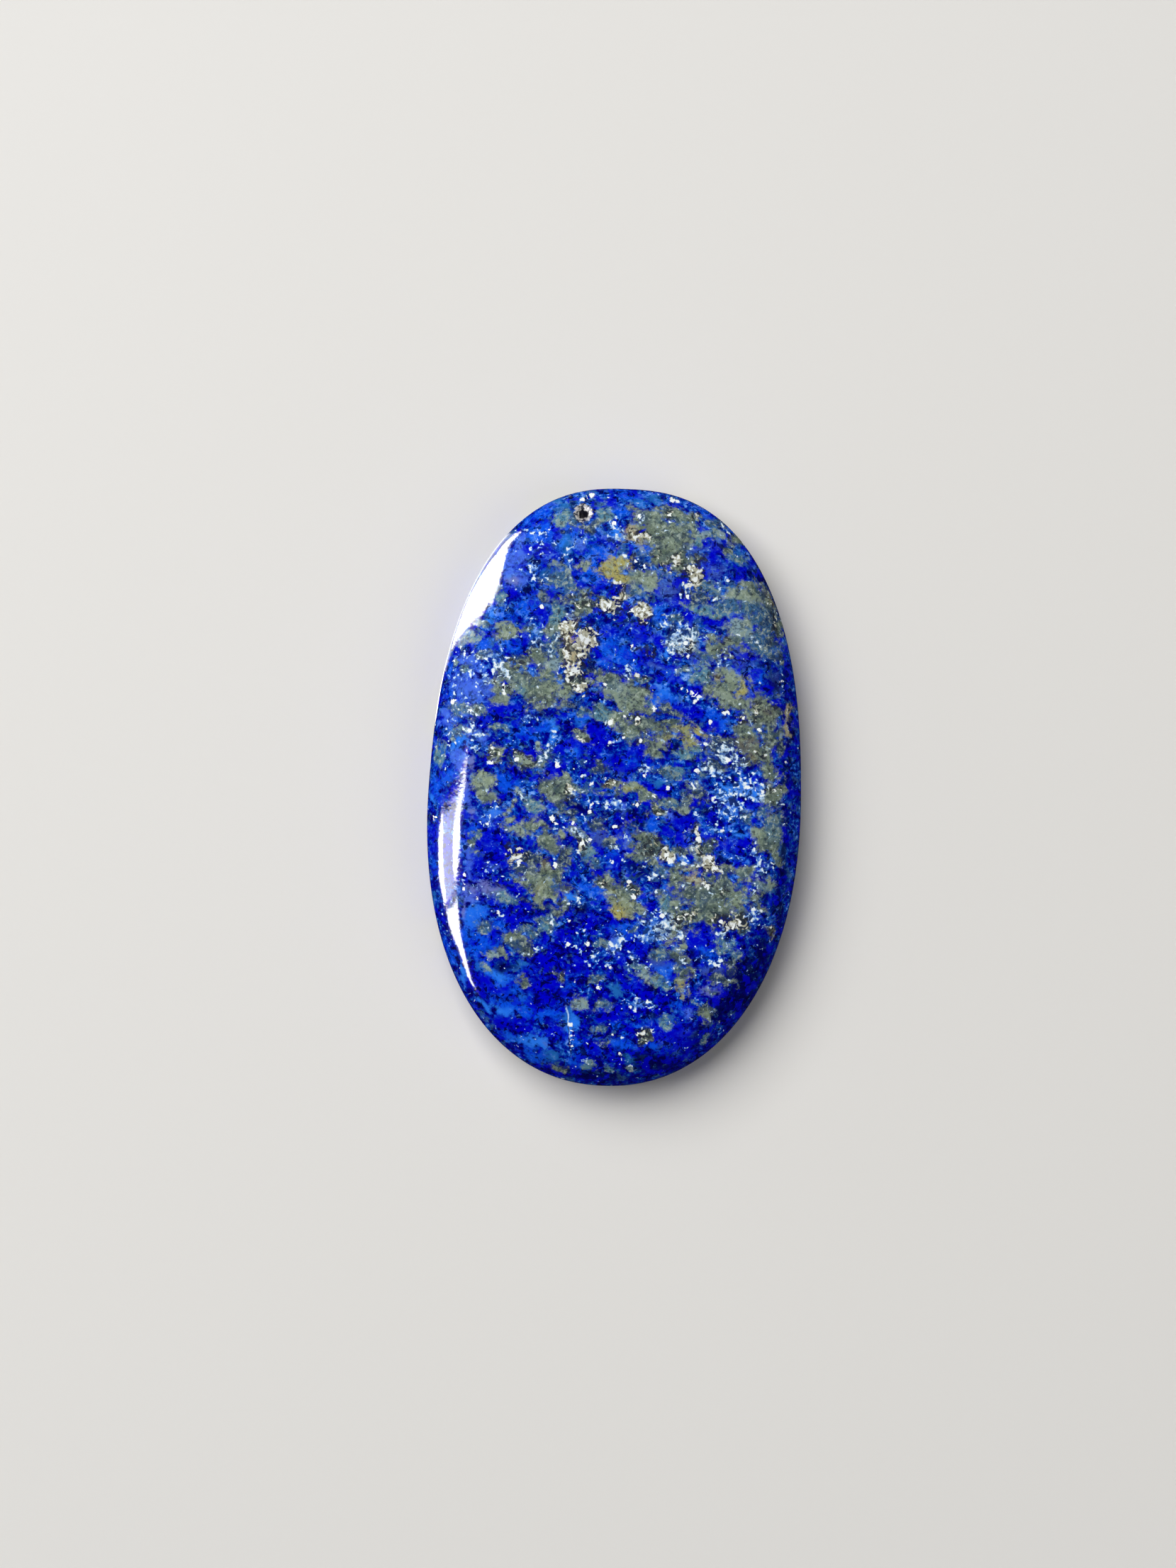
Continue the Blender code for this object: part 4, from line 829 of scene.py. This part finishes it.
class Shader:
    def __init__(self, name):
        self.material = bpy.data.materials.new(name)
        self.material.use_nodes = True
        self.tree = self.material.node_tree
        self.surface = self.tree.nodes["Principled BSDF"]

    def pick(self, sockets, key):
        if isinstance(key, int):
            return sockets[key]
        return next(s for s in sockets if key in (s.identifier, s.name))

    def feed(self, socket, value):
        if isinstance(value, Wire):
            self.tree.links.new(value.socket, socket)
        elif socket.type == "RGBA":
            socket.default_value = (*value, 1)
        else:
            socket.default_value = value

    def setStops(self, elements, stops):
        while len(elements) < len(stops):
            elements.new(0.5)
        for element, (position, tone) in zip(elements, stops):
            element.position = position
            element.color = (*tone, 1)

    def node(self, kind, settings, values, output=0):
        made = self.tree.nodes.new(kind)
        for name, setting in settings.items():
            if name == "stops":
                self.setStops(made.color_ramp.elements, setting)
            else:
                setattr(made, name, setting)
        for key, value in values.items():
            self.feed(self.pick(made.inputs, key), value)
        return Wire(self, self.pick(made.outputs, output))

    def finish(self, values):    # the numbers, colours and links of the surface itself
        for name, value in values.items():
            self.feed(self.surface.inputs[name], value)
        return self.material

    def stored(self, name, output="Fac"):
        return self.node("ShaderNodeAttribute", {"attribute_name": name}, {}, output)

    def mix(self, share, first, second):
        values = {"Factor_Float": share, "A_Color": first, "B_Color": second}
        return self.node("ShaderNodeMix", {"data_type": "RGBA"}, values, "Result_Color")

    def over(self, colour, *tones):      # tones laid over a colour in turn, each after its share
        for share, tone in tones:
            colour = self.mix(share, colour, tone)
        return colour

    def ramp(self, value, stops):        # colours at values of any size, where a node takes 0 to 1
        first, last = stops[0][0], stops[-1][0]
        even = [((position - first) / (last - first), tone) for position, tone in stops]
        value = (value - first) * (1 / (last - first))
        return self.node("ShaderNodeValToRGB", {"stops": even}, {"Fac": value}, "Color")

    def edge(self, value, low, high):    # 0 below low, 1 above high, smooth between
        values = {"Value": value, "From Min": low, "From Max": high}
        return self.node("ShaderNodeMapRange", {"interpolation_type": "SMOOTHSTEP"}, values)

    def moved(self, vector, seed):
        shift = (seed * 17.3, seed * -9.1, seed * 5.7)
        return self.node("ShaderNodeVectorMath", {"operation": "ADD"}, {0: vector, 1: shift})

    # Noise brought to a mean of 0 and a spread of about 1, whatever its detail.
    def clouds(self, vector, size, seed, detail=2, roughness=0.5, twist=0):
        values = {"Vector": self.moved(vector, seed), "Scale": 1 / size, "Detail": detail,
                  "Roughness": roughness, "Distortion": twist}
        plain = self.node("ShaderNodeTexNoise", {}, values)
        layerSpread = 0.13       # of noise without detail, whose mean is 0.5
        layers = [roughness ** i for i in range(detail + 1)]
        spread = layerSpread * math.hypot(*layers) / sum(layers)
        values = {0: plain, 1: 1 / spread, 2: -0.5 / spread}
        return self.node("ShaderNodeMath", {"operation": "MULTIPLY_ADD"}, values)


look = {
    "blueSteps": [           # darker to lighter grains of the blue
        (-2.2, shade(0, 0, 96)), (-1.5, shade(0, 0, 156)), (-0.8, shade(0, 8, 160)),
        (-0.2, shade(0, 40, 158)), (0.4, shade(4, 64, 174)), (1.0, shade(22, 92, 206)),
        (1.6, shade(68, 128, 236)), (2.4, shade(140, 184, 252)),
    ],
    "polish": 0.07,          # roughness of the blue, of the greenish minerals and of loose grains
    "mineralPolish": 0.16,
    "grainPolish": 0.30,
    "ior": 1.5,
    "brass": 0.25,           # how metallic the brassy grains are
    "layerLean": -12,        # degrees
    "layerStretch": 1.2,     # how much longer grains are along the layers
    "relief": 0.006,         # mm, how far the hard and soft grains stand apart
    "paleEnd": (4, 12),      # where along the stone it grows paler and where deeper, and how much
    "paleDrift": 0.5,
    "deepEnd": (-7, -13),
    "deepDrift": 0.65,
    "blueCover": 0.85,       # how fully blues, minerals, flecks and brassy grains hide what lies under them
    "mineralCover": 0.94,
    "fleckCover": 0.95,
    "brassCover": 0.95,
    "chipTone": shade(196, 193, 186),
    # painted shade for the inside of the pit's hole
    "pitShade": shade(16, 18, 30),
    "darkTone": shade(0, 0, 96),
    "seamTone": shade(30, 32, 46),
    "brassTone": shade(178, 177, 154),
    "gritTone": shade(170, 184, 166),
    "crackX": -2.42,
    "crackY": -16.3,
    "crackSlope": -0.13,     # mm across for each mm along
    "crackLength": 3.6,
    "crackFade": 0.4,        # how far from its ends it thins out
    "crackWidth": 0.07,
}


# Each noise has a mean of 0 and a spread of about 1, so an edge at 1 keeps about its highest sixth
# and an edge at 2 keeps its peaks.
def lapisMaterial():
    shader = Shader("polished_lapis")
    inMetres = shader.node("ShaderNodeTexCoord", {}, {}, "Object")
    place = shader.node("ShaderNodeVectorMath", {"operation": "SCALE"}, {0: inMetres, "Scale": 1 / mm})
    here = shader.node("ShaderNodeSeparateXYZ", {}, {0: place}, "X")
    turned = {"Vector": place, "Rotation": (0, 0, math.radians(-look["layerLean"])),
              "Scale": (1 / look["layerStretch"], 1, 1)}
    layers = shader.node("ShaderNodeMapping", {"vector_type": "POINT"}, turned)

    def near(x, y):              # how far a place is from a point, seen from above
        across = here - x
        along = here.output("Y") - y
        return shader.node("ShaderNodeMath", {"operation": "SQRT"}, {0: across * across + along * along})

    # The colours grow paler and hazier towards the squarer end, and deeper blue towards the other.
    paleEnd = shader.edge(here.output("Y"), *look["paleEnd"])
    deepEnd = shader.edge(here.output("Y"), *look["deepEnd"])
    drift = paleEnd * look["paleDrift"] - deepEnd * look["deepDrift"]

    # The blue: a mottle of darker and lighter grains, shifted where other blues are laid out.
    broad = shader.clouds(layers, 1.9, seed=1, detail=3, roughness=0.6)
    mottle = shader.clouds(layers, 0.75, seed=2, detail=3, roughness=0.7, twist=0.5)
    fine = shader.clouds(place, 0.32, seed=3, detail=2, roughness=0.7, twist=0.4)
    veil = shader.clouds(layers, 0.9, seed=6, detail=4, roughness=0.68, twist=0.4)
    bits = shader.clouds(place, 0.3, seed=9, detail=1, roughness=0.5)
    blueGrains = mottle * 0.66 + fine * 0.5 + bits * 0.42 + broad * 0.2 + drift
    colour = shader.ramp(blueGrains, look["blueSteps"])
    veiled = shader.edge(veil + broad * 0.3 + drift * 0.5, 0.9, 2.0)
    blueHere = shader.edge(shader.stored("blueShare") + mottle * 0.25 + fine * 0.12, -0.5, 0.6)
    blueTone = shader.stored("blueTone", "Color")
    pale = shader.edge(shader.node("ShaderNodeSeparateColor", {}, {0: blueTone}, "Green"), 0.04, 0.2)
    calm = 1 - blueHere * pale * 0.92    # pale patches are smoother than the rest
    colour = shader.over(
        colour,
        (veiled * 0.7, palette["slate"]),
        (blueHere * look["blueCover"], blueTone),
        (shader.edge(fine + mottle * 0.4 + drift, 0.8, 3.0) * 0.6, palette["frost"]),
        (shader.edge(fine + mottle * 0.4, -0.6, -2.4) * calm * 0.5, look["darkTone"]))

    # Small deep and dark places between the grains.
    deepNoise = shader.clouds(layers, 0.8, seed=4, detail=2, roughness=0.6)
    darkNoise = shader.clouds(place, 0.5, seed=5, detail=2, roughness=0.7, twist=0.6)
    colour = shader.over(
        colour,
        (shader.edge(deepNoise + fine * 0.5, 0.5, 1.3) * calm * 0.85, palette["deep"]),
        (shader.edge(darkNoise + bits * 0.25, 1.05, 1.7) * calm * 0.9, palette["navy"]))

    # The laid-out minerals: soft ragged edges, and an inside mottled from dark grit to pale grains.
    patchNoise = shader.clouds(layers, 0.95, seed=7, detail=4, roughness=0.7, twist=0.4)
    inside = shader.clouds(place, 0.65, seed=8, detail=3, roughness=0.65, twist=0.6)
    grit = shader.clouds(place, 0.3, seed=11, detail=2, roughness=0.7, twist=0.5)
    gritty = grit + bits * 0.4
    mineralField = shader.stored("mineralShare") + patchNoise * 0.26 + inside * 0.12
    mineralField = mineralField + grit * 0.05 + drift * 0.3
    mineral = shader.edge(mineralField, -0.5, 0.42)
    mineralTone = shader.over(
        shader.stored("mineralTone", "Color"),
        (shader.edge(mineralField, 0.0, -0.5) * 0.7, palette["slate"]),
        (shader.edge(veil, 0.6, 2.2) * 0.3, palette["slate"]),
        (shader.edge(inside, 0.1, 1.9) * 0.65, palette["olivePale"]),
        (shader.edge(inside, 0.0, -1.7) * 0.8, palette["oliveDark"]),
        (shader.edge(gritty, 0.4, 2.4) * 0.75, look["gritTone"]),
        (shader.edge(gritty, -0.6, -2.2) * 0.7, look["seamTone"]))
    colour = shader.mix(mineral * look["mineralCover"], colour, mineralTone)

    # Pale flecks, thicker where they are laid out: curled specks and loose nets of threads, their peaks
    # painted glints.
    curls = shader.clouds(place, 0.42, seed=10, detail=2, roughness=0.6, twist=1.1)
    net = shader.clouds(place, 0.7, seed=13, detail=1, roughness=0.6, twist=0.9)
    snowField = shader.stored("snowShare") + patchNoise * 0.25 + bits * 0.1 + drift * 0.25
    snowHere = shader.edge(snowField, -0.7, 0.6)
    fleck = curls * 0.7 + bits * 0.6 + snowHere * 2.3 + mineral * 0.35
    flecks = shader.edge(fleck, 1.95, 2.8)
    threads = shader.edge(abs(net), 0.2, 0.04) * shader.edge(curls * 0.6 + snowHere * 2.0, 1.3, 2.1)
    gaps = snowHere * shader.edge(curls, -0.2, -1.1)
    snow = shader.edge(flecks + threads * 0.7, 0.0, 1.0)
    snowTone = shader.over(
        palette["frost"],
        (mineral * 0.8, look["gritTone"]),
        (shader.edge(fleck + bits * 0.3, 2.2, 3.8), palette["snow"]),
        (shader.edge(fleck + bits * 0.5, 3.5, 4.8), palette["glint"]))
    colour = shader.over(
        colour,
        (shader.edge(snowField, -0.1, 0.7) * 0.6, palette["frost"]),
        (gaps * 0.8, palette["navy"]),
        (snow * look["fleckCover"], snowTone))

    # Brassy grains with dark seams between them, their brightest parts painted glints.
    brassField = shader.stored("pyriteShare") + patchNoise * 0.16 + bits * 0.12
    brassHere = shader.edge(brassField, -0.4, 0.3)
    lump = curls + brassHere * 3.5
    brass = shader.edge(lump, 2.3, 2.8) * shader.edge(brassHere, 0.0, 0.2)
    seam = shader.edge(brassField, -0.8, -0.2) * shader.edge(curls, 0.1, -0.8)
    brassTone = shader.mix(shader.edge(lump + bits * 0.7, 3.3, 5.0), look["brassTone"], palette["glint"])
    colour = shader.over(colour, (seam * 0.85, look["seamTone"]), (brass * look["brassCover"], brassTone))

    # The brightest grains, each a small ragged disc, partly pale grain and partly painted glint.
    spot = shader.stored("glintSpot", "Vector")
    grain = shader.node("ShaderNodeSeparateXYZ", {}, {0: spot}, "X")
    fromGrain = near(grain, grain.output("Y"))
    ragged = curls * 0.035 + grit * 0.02
    glint = shader.edge(grain.output("Z") - fromGrain + ragged, -0.02, 0.04)

    # The chipped pit: a pale crumbled rim round a hole darkened with painted shade.
    fromPit = near(pit["x"], pit["y"]) + grit * 0.035 + curls * 0.03
    onFace = shader.edge(here.output("Z"), wallTop, wallTop + 0.3)
    rim = shader.edge(fromPit, pit["rimRadius"] + 0.03, pit["rimRadius"] - 0.1) * onFace
    rimTone = shader.mix(shader.edge(grit + bits * 0.5, 0.6, -1.0), look["chipTone"], look["seamTone"])
    hole = shader.edge(fromPit, pit["radius"] + 0.09, pit["radius"] - 0.03) * onFace

    # The hairline crack near the narrow end, with white dashes in it.
    wobble = shader.clouds(place, 0.9, seed=15) * 0.04 + fine * 0.01
    onward = here.output("Y") - look["crackY"]
    aside = abs(here - look["crackX"] - onward * look["crackSlope"] + wobble)
    crackEnd = look["crackLength"] / 2
    crack = shader.edge(aside, look["crackWidth"], look["crackWidth"] * 0.3)
    crack = crack * shader.edge(abs(onward), crackEnd, crackEnd - look["crackFade"]) * onFace
    dashes = shader.edge(shader.clouds(place, 0.5, seed=16), -0.5, 0.5)
    crackTone = shader.mix(dashes, palette["navy"], palette["snow"])
    colour = shader.over(colour, (glint, palette["glint"]), (rim * 0.9, rimTone),
                         (hole, look["pitShade"]), (crack * 0.8, crackTone))

    dull = shader.edge(brass + glint + rim + snow * 0.5, 0.1, 0.9)
    roughness = look["polish"] + mineral * (look["mineralPolish"] - look["polish"])
    heights = fine * 0.03 + inside * 0.05 + mottle * 0.04 - mineral * 0.3 + brass * 0.3 - crack * 3
    bump = {"Strength": 1.0, "Distance": look["relief"] * mm, "Height": heights}
    return shader.finish({
        "Base Color": colour,
        "Roughness": roughness + dull * (look["grainPolish"] - look["polish"]),
        "Metallic": shader.edge(brass - glint, 0.2, 0.9) * look["brass"],
        "Normal": shader.node("ShaderNodeBump", {}, bump),
        "IOR": look["ior"],
    })


stone.data.materials.append(lapisMaterial())
print("stone finished")


# The studio: a pale floor, a camera over the stone and soft lights.
studio = {
    "floorSize": 1.2,                # metres
    "floorColour": shade(226, 224, 220),
    "floorRoughness": 0.8,
    "world": 0.015,
    "pixelsPerMm": 21.055,           # how large the stone is in the picture, and where its middle lies
    "pictureHigh": 2212,
    "eyeX": -1.82,
    "eyeY": 0.15,
    "eyeDistance": 250,              # from the plane of the outline
    "eyePlane": 3.0,
    "eyeTurn": 2.42,                 # degrees
    "sensor": 36,
    "cardDistance": 0.5,             # metres
}

# Softboxes: compass direction and height of the middle in degrees, distance, width and height in
# metres, and brightness. They light the stone and don't show in its polish.
softboxes = {
    "key": {"turn": 135, "rise": 55, "far": 0.70, "wide": 0.60, "high": 0.60, "light": 5.3},
    "fill": {"turn": 330, "rise": 50, "far": 0.80, "wide": 0.60, "high": 0.60, "light": 1.1},
}

# White cards that show only as reflections: their corners are given by the places on the stone, across
# and along, where the eye sees them mirrored.
cards = {
    "upperCard": {"light": 34.0, "spots": [
        (-6.95, 16.95), (-7.67, 16.1), (-7.94, 15.1), (-8.22, 13.7), (-8.5, 12.4), (-8.95, 12.3),
        (-9.1, 11.7), (-9.5, 11.25), (-10.0, 10.75), (-10.75, 9.8), (-11.2, 9.1), (-11.12, 9.8),
        (-10.83, 10.7), (-10.5, 11.8), (-10.0, 13.0), (-9.4, 14.1), (-8.67, 15.27), (-8.05, 16.12),
        (-7.45, 16.58)]},
    "upperGlow": {"light": 3.5, "far": 0.53, "spots": [
        (-7.6, 15.9), (-9.0, 13.0), (-10.0, 11.0), (-11.1, 9.0), (-11.6, 7.6), (-11.45, 9.0),
        (-11.2, 10.3), (-10.85, 11.6), (-10.4, 12.9), (-9.8, 14.1), (-9.0, 15.3), (-8.35, 16.15),
        (-7.6, 16.7)]},
    "lowerCard": {"light": 11.0, "spots": [
        (-10.1, 1.4), (-9.98, 0.5), (-10.15, -0.7), (-10.3, -2.1), (-10.25, -4.0), (-10.28, -6.0),
        (-10.36, -7.7), (-11.05, -8.5), (-11.16, -7.9), (-11.43, -6.9), (-11.57, -5.3), (-11.62, -4.0),
        (-11.54, -2.5), (-11.15, -2.2), (-10.86, -1.4), (-10.45, -0.5), (-10.25, 0.3)]},
    "tailCard": {"light": 30.0, "spots": [
        (-10.2, -8.1), (-10.1, -8.9), (-9.9, -10.4), (-9.48, -11.9), (-9.0, -13.3), (-8.6, -14.1),
        (-9.15, -13.3), (-9.7, -12.0), (-10.18, -10.9), (-10.66, -9.9), (-10.87, -8.95)]},
    "outerStrip": {"light": 34.0, "far": 0.48, "spots": [
        (-11.45, -2.5), (-11.36, -4.0), (-11.32, -5.3), (-11.15, -6.9), (-10.9, -8.1), (-11.05, -8.5),
        (-11.16, -7.9), (-11.43, -6.9), (-11.57, -5.3), (-11.62, -4.0), (-11.55, -2.6)]},
    "innerStrip": {"light": 34.0, "far": 0.47, "spots": [
        (-10.05, 1.2), (-9.98, 0.5), (-10.15, -0.7), (-10.3, -2.1), (-10.25, -4.0), (-10.28, -6.0),
        (-10.4, -7.0), (-10.6, -6.0), (-10.68, -4.4), (-10.65, -2.6), (-10.5, -1.4), (-10.25, -0.2)]},
    "rimStrip": {"light": 9.0, "spots": [
        (-11.45, 8.8), (-11.8, 7.0), (-12.1, 4.6), (-12.28, 4.6), (-11.98, 7.0), (-11.62, 8.8)]},
}

eye = Vector((studio["eyeX"], studio["eyeY"], studio["eyePlane"] + studio["eyeDistance"])) * mm


def makeFloor():
    sheet = bmesh.new()
    bmesh.ops.create_grid(sheet, x_segments=1, y_segments=1, size=studio["floorSize"] / 2)
    floor = placed("floor", sheet)
    paper = {"Base Color": studio["floorColour"], "Roughness": studio["floorRoughness"]}
    floor.data.materials.append(Shader("pale_paper").finish(paper))
    floor.visible_glossy = False     # it doesn't pale the stone's dark edge


def makeCamera():
    lens = bpy.data.cameras.new("camera")
    lens.sensor_width = studio["sensor"]
    lens.lens = studio["pixelsPerMm"] * studio["eyeDistance"] * studio["sensor"] / studio["pictureHigh"]
    lens.clip_start = 0.01
    camera = bpy.data.objects.new("camera", lens)
    camera.location = eye
    camera.rotation_euler = (0, 0, math.radians(studio["eyeTurn"]))
    bpy.context.scene.collection.objects.link(camera)
    bpy.context.scene.camera = camera


def direction(turn, rise):
    turn, rise = math.radians(turn), math.radians(rise)
    return Vector((math.cos(turn) * math.cos(rise), math.sin(turn) * math.cos(rise), math.sin(rise)))


def makeSoftbox(name, box):
    lamp = bpy.data.lights.new(name, "AREA")
    lamp.shape = "RECTANGLE"
    lamp.size = box["wide"]
    lamp.size_y = box["high"]
    lamp.energy = box["light"] * box["wide"] * box["high"] * math.pi
    away = direction(box["turn"], box["rise"])
    light = bpy.data.objects.new(name, lamp)
    light.location = away * box["far"]
    light.rotation_euler = away.to_track_quat("Z", "Y").to_euler()
    light.visible_camera = False
    light.visible_glossy = False
    bpy.context.scene.collection.objects.link(light)


# The direction that the eye sees in the polish at a place on the stone. A mirrored direction ends
# as the line of sight itself at the outline, so that stands in just outside it.
def mirrored(spot):
    view = (Vector((*spot, studio["eyePlane"])) * mm - eye).normalized()
    hit, place, normal, index = stone.ray_cast(eye, view)
    return view - 2 * view.dot(normal) * normal if hit else view


def makeCard(name, card):
    corners = [mirrored(spot) for spot in card["spots"]]
    middle = sum(corners, Vector()).normalized()
    far = card.get("far", studio["cardDistance"])
    sheet = bmesh.new()
    sheet.faces.new([sheet.verts.new(corner * far / corner.dot(middle)) for corner in corners])
    board = placed(name, sheet)
    glow = {"Base Color": (0, 0, 0), "Specular IOR Level": 0,
            "Emission Color": (1, 1, 1), "Emission Strength": card["light"]}
    board.data.materials.append(Shader(name).finish(glow))
    board.visible_camera = False
    board.visible_diffuse = False
    board.visible_shadow = False


def makeWorld():
    world = bpy.data.worlds.new("studio")
    world.use_nodes = True
    world.node_tree.nodes["Background"].inputs["Color"].default_value = (*[studio["world"]] * 3, 1)
    bpy.context.scene.world = world


makeFloor()
makeCamera()
makeWorld()
for name, box in softboxes.items():
    makeSoftbox(name, box)
for name, card in cards.items():
    makeCard(name, card)
bpy.context.scene.view_settings.view_transform = "Standard"
print("studio lit")
